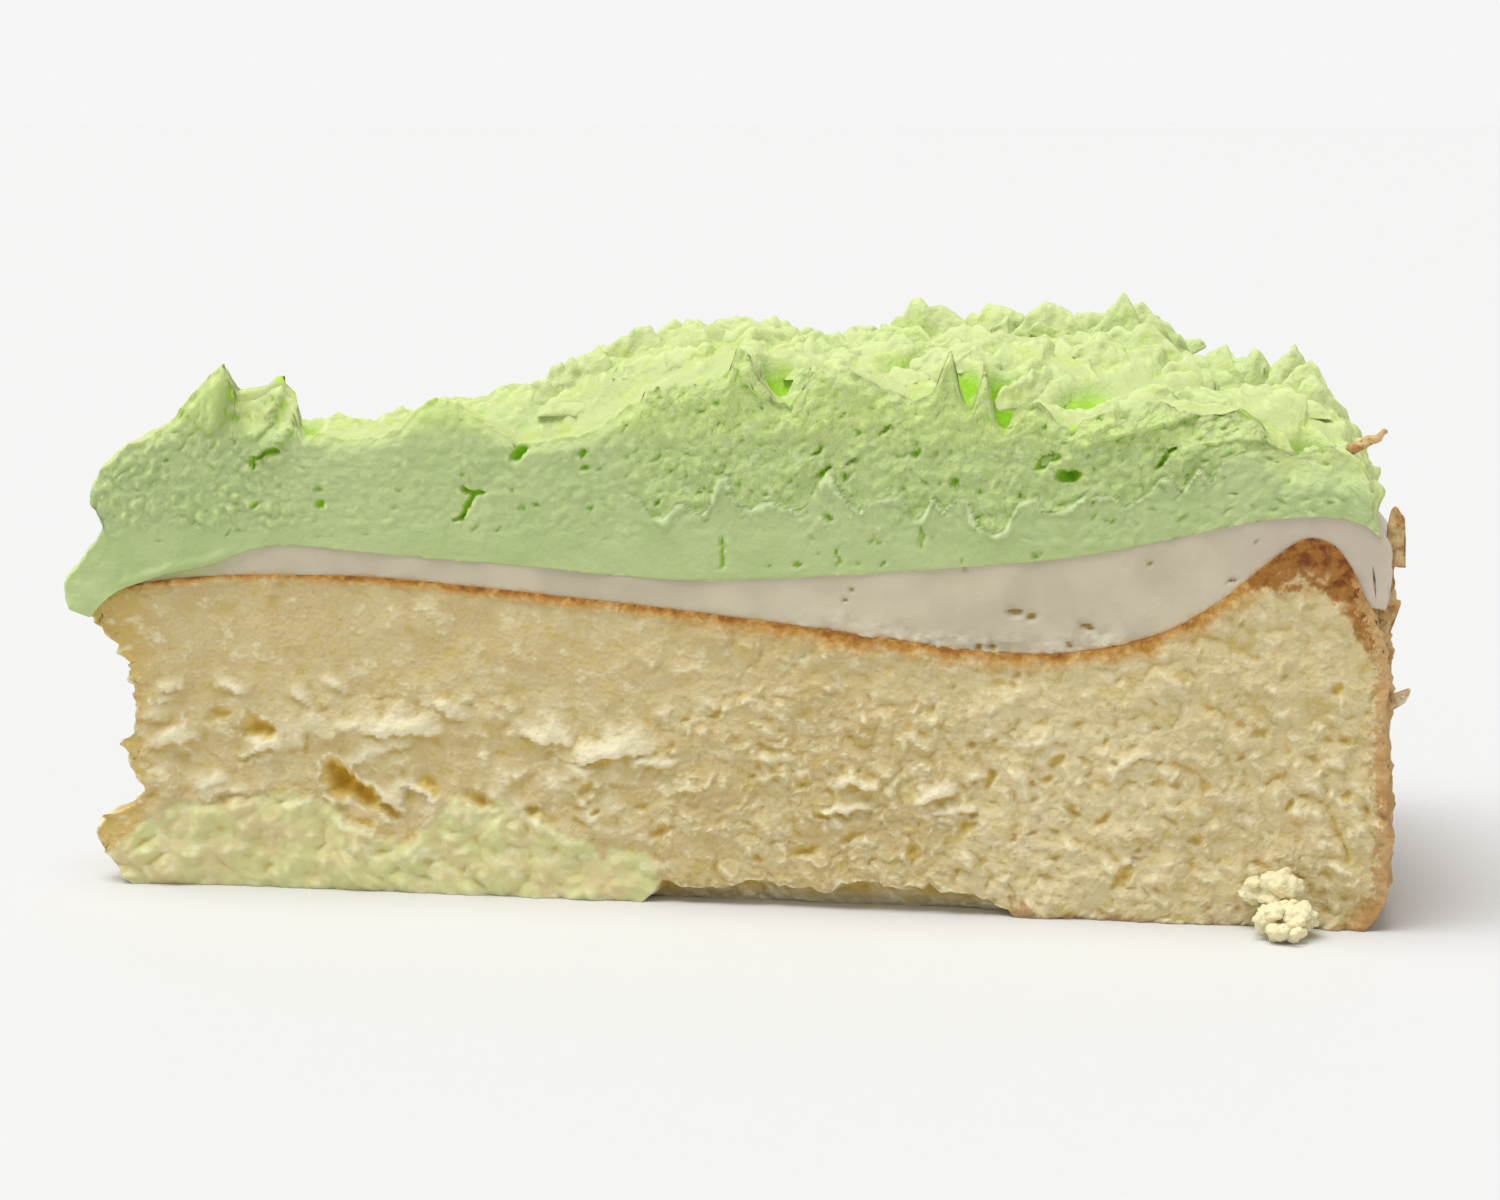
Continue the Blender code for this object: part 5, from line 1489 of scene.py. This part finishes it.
def blades(root, wide_axis, tall_axis, row, steps=30, rises=10):
    """Closed blades: over s from -1 to 1 the edge's height is that of the peak times a lopsided
    arch with teeth, and every ring is a thin loop up the face and down the back. A ribbon also
    narrows upwards, by the share in "cut"."""
    s = np.linspace(-1, 1, steps)[None, :, None]
    r = np.r_[np.linspace(0, 1, rises), np.linspace(1, 0, rises)][None, None]
    side = np.r_[-np.ones(rises), np.ones(rises)][None, None]
    at = {name: values[:, None, None] for name, values in row.items()}
    number = np.arange(len(root))[:, None, None] * 17.0
    reach = np.where(s < at["peak"], 1 + at["peak"], 1 - at["peak"])
    arch = np.clip(1 - (np.abs(s - at["peak"]) / reach) ** at["blunt"], 0, 1) ** 0.7
    wide = s * at["half"] * (1 - 0.6 * at["cut"] * r)
    teeth = 0.7 * wander(wide, number, 0, 2.0, 701) + 0.6 * wander(wide, number, 0, 0.9, 702)
    tall = (at["stands"] * (0.15 + 0.85 * arch) + teeth) * r
    wide = wide + 0.35 * at["cut"] * s * rough(tall, number, s, 1.2, 705, 2)
    risen = np.maximum(tall, 0) / at["stands"]
    bend = at["lean"] * risen**1.4 - at["cup"] * at["half"] * s**2
    wave = 0.5 * rough(wide, number, tall, 3.2, 711, 3) + 0.3 * billow(wide, number, tall, 1.5, 715, 2)
    thick = at["thick"] * (1.3 - 1.05 * r**1.3) * (1 - 0.7 * np.abs(s) ** (2 + 6 * at["cut"]))
    deep = bend + wave + side * thick
    deep_axis = np.cross(tall_axis, wide_axis)
    points = root[:, None, None] + sum(
        length[..., None] * axis[:, None, None]
        for length, axis in ((wide, wide_axis), (tall, tall_axis), (deep, deep_axis))
    )
    rooted = np.clip(1.1 - (tall - at["sunk"]) / 2.6, 0, 1) + 0 * side
    edge = ease((r - 0.62) / 0.38) * (1 + 0 * tall)
    ends = np.ones(2 * len(root))
    return points, np.r_[rooted.ravel(), ends], np.r_[edge.ravel(), 0 * ends]


def petals_in_place(row):
    """Stands each blade on its place along and behind the cut, turned and rolled."""
    c, n = np.cos(HALF_ANGLE), np.sin(HALF_ANGLE)
    ahead, behind, up = np.array([c, -n, 0]), np.array([n, c, 0]), np.array([0, 0, 1.0])
    turn, roll = np.radians(row["turn"]), np.radians(row["roll"])
    flat = np.cos(turn)[:, None] * ahead + np.sin(turn)[:, None] * behind
    wide_axis = np.cos(roll)[:, None] * flat + np.sin(roll)[:, None] * up
    tall_axis = np.cos(roll)[:, None] * up - np.sin(roll)[:, None] * flat
    root = row["ahead"][:, None] * ahead + row["behind"][:, None] * behind
    root = root + row["root"][:, None] * up - (ORIGIN_OUT, ORIGIN_ACROSS, 0)
    return blades(root, wide_axis, tall_axis, {**row, "thick": 0.85 + 0.05 * row["cut"]})


rows = petal_rows(71)
points, rooted, edge = petals_in_place(rows)
corners, faces = tubes(points)
petals = make_piece("lime_frosting_petals", corners, faces)
at_cut = np.broadcast_to(rows["cut"][:, None, None], points.shape[:3]).ravel()
at_cut = np.r_[at_cut, np.repeat(rows["cut"], 2)]
# On the petals: painted crevice colour at their roots, painted highlights on their edges, and the ribbons get
# half the cut's painted shade and its painted light from above.
for name, values in {
    "deep": 0.2 * rooted**2 * (1 - at_cut), "cut": 0.5 * at_cut, "torn": at_cut,
    "pit": -0.7 * edge, "dug": 0 * rooted, "lip": 0 * rooted, "hole": 0 * rooted, "high": at_cut,
}.items():  # fmt: skip
    give(petals, name, values)


# %% Frosting colours
def frosting_paint(name, scatter, lift=0.0):
    """Pale lime, painted darker on the cut as shade and lighter at its top, with painted highlights
    on ridges, the lip and torn flecks, and a saturated lime painted where light gets lost between
    the petals and in pits. Thin petals let light through, so they are lifted towards a brighter lime
    by a share."""
    paint = Paint(name, 0.6, scatter, 1.1, (0.9, 1.0, 0.3), 0.25)
    tone, patch = paint.noise(6.0, 2.0), paint.noise(3.0, 2.0)
    colour = paint.blend((0.52, 0.61, 0.255), (0.575, 0.65, 0.29), paint.share(tone, 0.35, 0.65))
    colour = paint.blend(colour, (0.51, 0.63, 0.15), paint.share(patch, 0.5, 0.68, 0.0, 0.6))
    # The cut is painted darker than the top: painted shade on the upright face. It is lighter where torn, and
    # painted lighter towards its top edge as painted light from above.
    cut = paint.blend((0.455, 0.56, 0.245), (0.495, 0.59, 0.275), paint.share(tone, 0.35, 0.65))
    cut = paint.blend(cut, (0.535, 0.665, 0.25), paint.share(paint.stored("torn"), 0.0, 1.0, 0.0, 0.7))
    cut = paint.blend(cut, (0.60, 0.73, 0.25), paint.share(paint.stored("high"), 0.0, 1.0, 0.0, 0.8))
    colour = paint.blend(colour, cut, paint.stored("cut"))
    deep, pit = paint.stored("deep"), paint.stored("pit")
    # Painted highlights on ridges that stand out.
    colour = paint.blend(colour, (0.65, 0.76, 0.33), paint.share(pit, -0.1, -0.8, 0.0, 0.6))
    # Painted shade: a saturated lime in crevices, dug hollows, pits and bubbles, where light gets lost and
    # bounces about.
    colour = paint.blend(colour, (0.44, 0.65, 0.06), paint.share(deep, 0.12, 0.9, 0.0, 0.75))
    low = paint.sum(paint.share(deep, 0.6, 1.0), paint.stored("dug"), "MAXIMUM")
    colour = paint.blend(colour, (0.36, 0.68, 0.0), paint.share(low, 0.1, 0.9, 0.0, 0.9))
    colour = paint.blend(colour, (0.40, 0.72, 0.03), paint.share(pit, 0.3, 1.0, 0.0, 0.9))
    colour = paint.blend(colour, (0.34, 0.68, 0.0), paint.share(paint.stored("hole"), 0.2, 0.9, 0.0, 0.8))
    # Painted highlight on the lip and on the ragged foot, where they stand proud and catch the light.
    colour = paint.blend(colour, (0.68, 0.78, 0.50), paint.share(paint.stored("lip"), 0.2, 0.9, 0.0, 0.5))
    if lift:
        colour = paint.blend(colour, (0.76, 0.88, 0.44), lift)
    # Painted highlights: pale flecks on the torn part of the cut; the same noise raises its bumps.
    highlight_flecks = paint.noise(0.75, 4.0, (1, 1, 0.8), 0.6)
    colour = paint.blend(colour, (0.62, 0.71, 0.43), paint.sum(
        paint.share(highlight_flecks, 0.56, 0.68, 0.0, 0.6), paint.stored("torn"), "MULTIPLY"))
    crumbly = paint.sum(paint.sum(highlight_flecks, paint.stored("torn"), "MULTIPLY"), 3.4, "MULTIPLY")
    paint.bumps(paint.sum(paint.sum(paint.noise(0.8, 5.0), 1.6, "MULTIPLY"), crumbly), 0.17)
    return paint.finish(colour)


serve(frosting, frosting_paint("whipped_lime", 0.35), "lime_frosting")
serve(petals, frosting_paint("torn_lime", 0.0, 0.12), "lime_frosting")

# %% [markdown]
# ## The flakes on the outside
# Seven flakes stick to the outside near the front cut: a toasted one in the frosting, two that
# stand on the cream, and three browned ones and a pale one on the cake. Each is a blade like a
# petal, so the same function makes them: only its place, its turn and its colours differ.

# %% Flakes
# Place across, distance out, height, half length, half width, half thickness, tilt in degrees
# (0 points straight out, 90 stands up), roll about its length in degrees.
FROSTING_FLAKES = [(-0.93, 124.7, 45.6, 1.9, 0.6, 0.4, 20, 40)]
CREAM_FLAKES = [(-0.9, 127.5, 36.8, 2.7, 1.1, 0.55, 86, 80), (-0.86, 126.9, 33.2, 1.5, 0.9, 0.5, 70, 60)]
CRUMB_FLAKES = [
    (-0.9, 126.5, 29.6, 2.3, 1.5, 0.8, 62, 75), (-0.93, 126.8, 15.6, 1.6, 0.8, 0.5, 84, 80),
    (-0.88, 126.9, 25.2, 1.3, 0.7, 0.4, 70, 70),
]  # fmt: skip
PALE_FLAKES = [(-0.9, 127.5, 21.3, 1.7, 0.9, 0.5, 24, 70)]


def flakes_in_place(table):
    """Blades that point out of the tin side: their length is tilted up from the way out, and
    their width is rolled about it."""
    place, out, up, length, half, thick, tilt, roll = np.array(table, float).T
    angle, tilt, roll = HALF_ANGLE * place, np.radians(tilt), np.radians(roll)
    way = np.stack([np.cos(angle), np.sin(angle), 0 * angle], -1)
    beside_way = np.stack([-np.sin(angle), np.cos(angle), 0 * angle], -1)
    rise = np.array([0, 0, 1.0])
    tall_axis = np.cos(tilt)[:, None] * way + np.sin(tilt)[:, None] * rise
    flat = np.cross(tall_axis, beside_way)
    wide_axis = np.cos(roll)[:, None] * beside_way + np.sin(roll)[:, None] * flat
    root = way * out[:, None] + rise * up[:, None] - (ORIGIN_OUT, ORIGIN_ACROSS, 0)
    root = root - tall_axis * length[:, None]
    zero = 0 * length
    row = {"stands": 2 * length, "half": half, "peak": zero + 0.1, "lean": 0.2 * length,
           "cup": zero + 0.15, "thick": thick, "cut": zero + 0.3, "sunk": zero,
           "blunt": zero + 7.0}  # fmt: skip
    return blades(root, wide_axis, tall_axis, row, 18, 12)[0]


def toast_paint(name, pale, brown, dark, over_mm):
    """Toasted bits: pale and brown in patches about over_mm across, with dark specks."""
    paint = Paint(name, 0.7, 0.3, 0.8, (1.0, 0.6, 0.3))
    patch, specks = paint.noise(over_mm, 3.0), paint.noise(0.5, 4.0)
    colour = paint.blend(pale, brown, paint.share(patch, 0.42, 0.58))
    colour = paint.blend(colour, dark, paint.share(specks, 0.56, 0.7, 0.0, 0.8))
    paint.bumps(specks, 0.3)
    return paint.finish(colour)


toast = toast_paint("toasted_flake", (0.66, 0.47, 0.22), (0.52, 0.29, 0.10), (0.28, 0.09, 0.03), 2.0)
tan = toast_paint("browned_flake", (0.64, 0.45, 0.20), (0.52, 0.29, 0.09), (0.28, 0.11, 0.03), 2.0)
pale = toast_paint("pale_flake", (0.74, 0.64, 0.42), (0.66, 0.50, 0.26), (0.36, 0.16, 0.05), 1.6)
for name, table, material, node, slot in (
    ("toasted_flake_in_frosting", FROSTING_FLAKES, toast, "lime_frosting", "frosting"),
    ("toasted_flakes_on_cream", CREAM_FLAKES, toast, "white_cream", "cream"),
    ("browned_flakes_on_cake", CRUMB_FLAKES, tan, "cake", "baked_cake"),
    ("pale_flake_on_cake", PALE_FLAKES, pale, "cake", "baked_cake"),
):  # fmt: skip
    flake = make_piece(name, *tubes(flakes_in_place(table)))
    serve(flake, material, node)
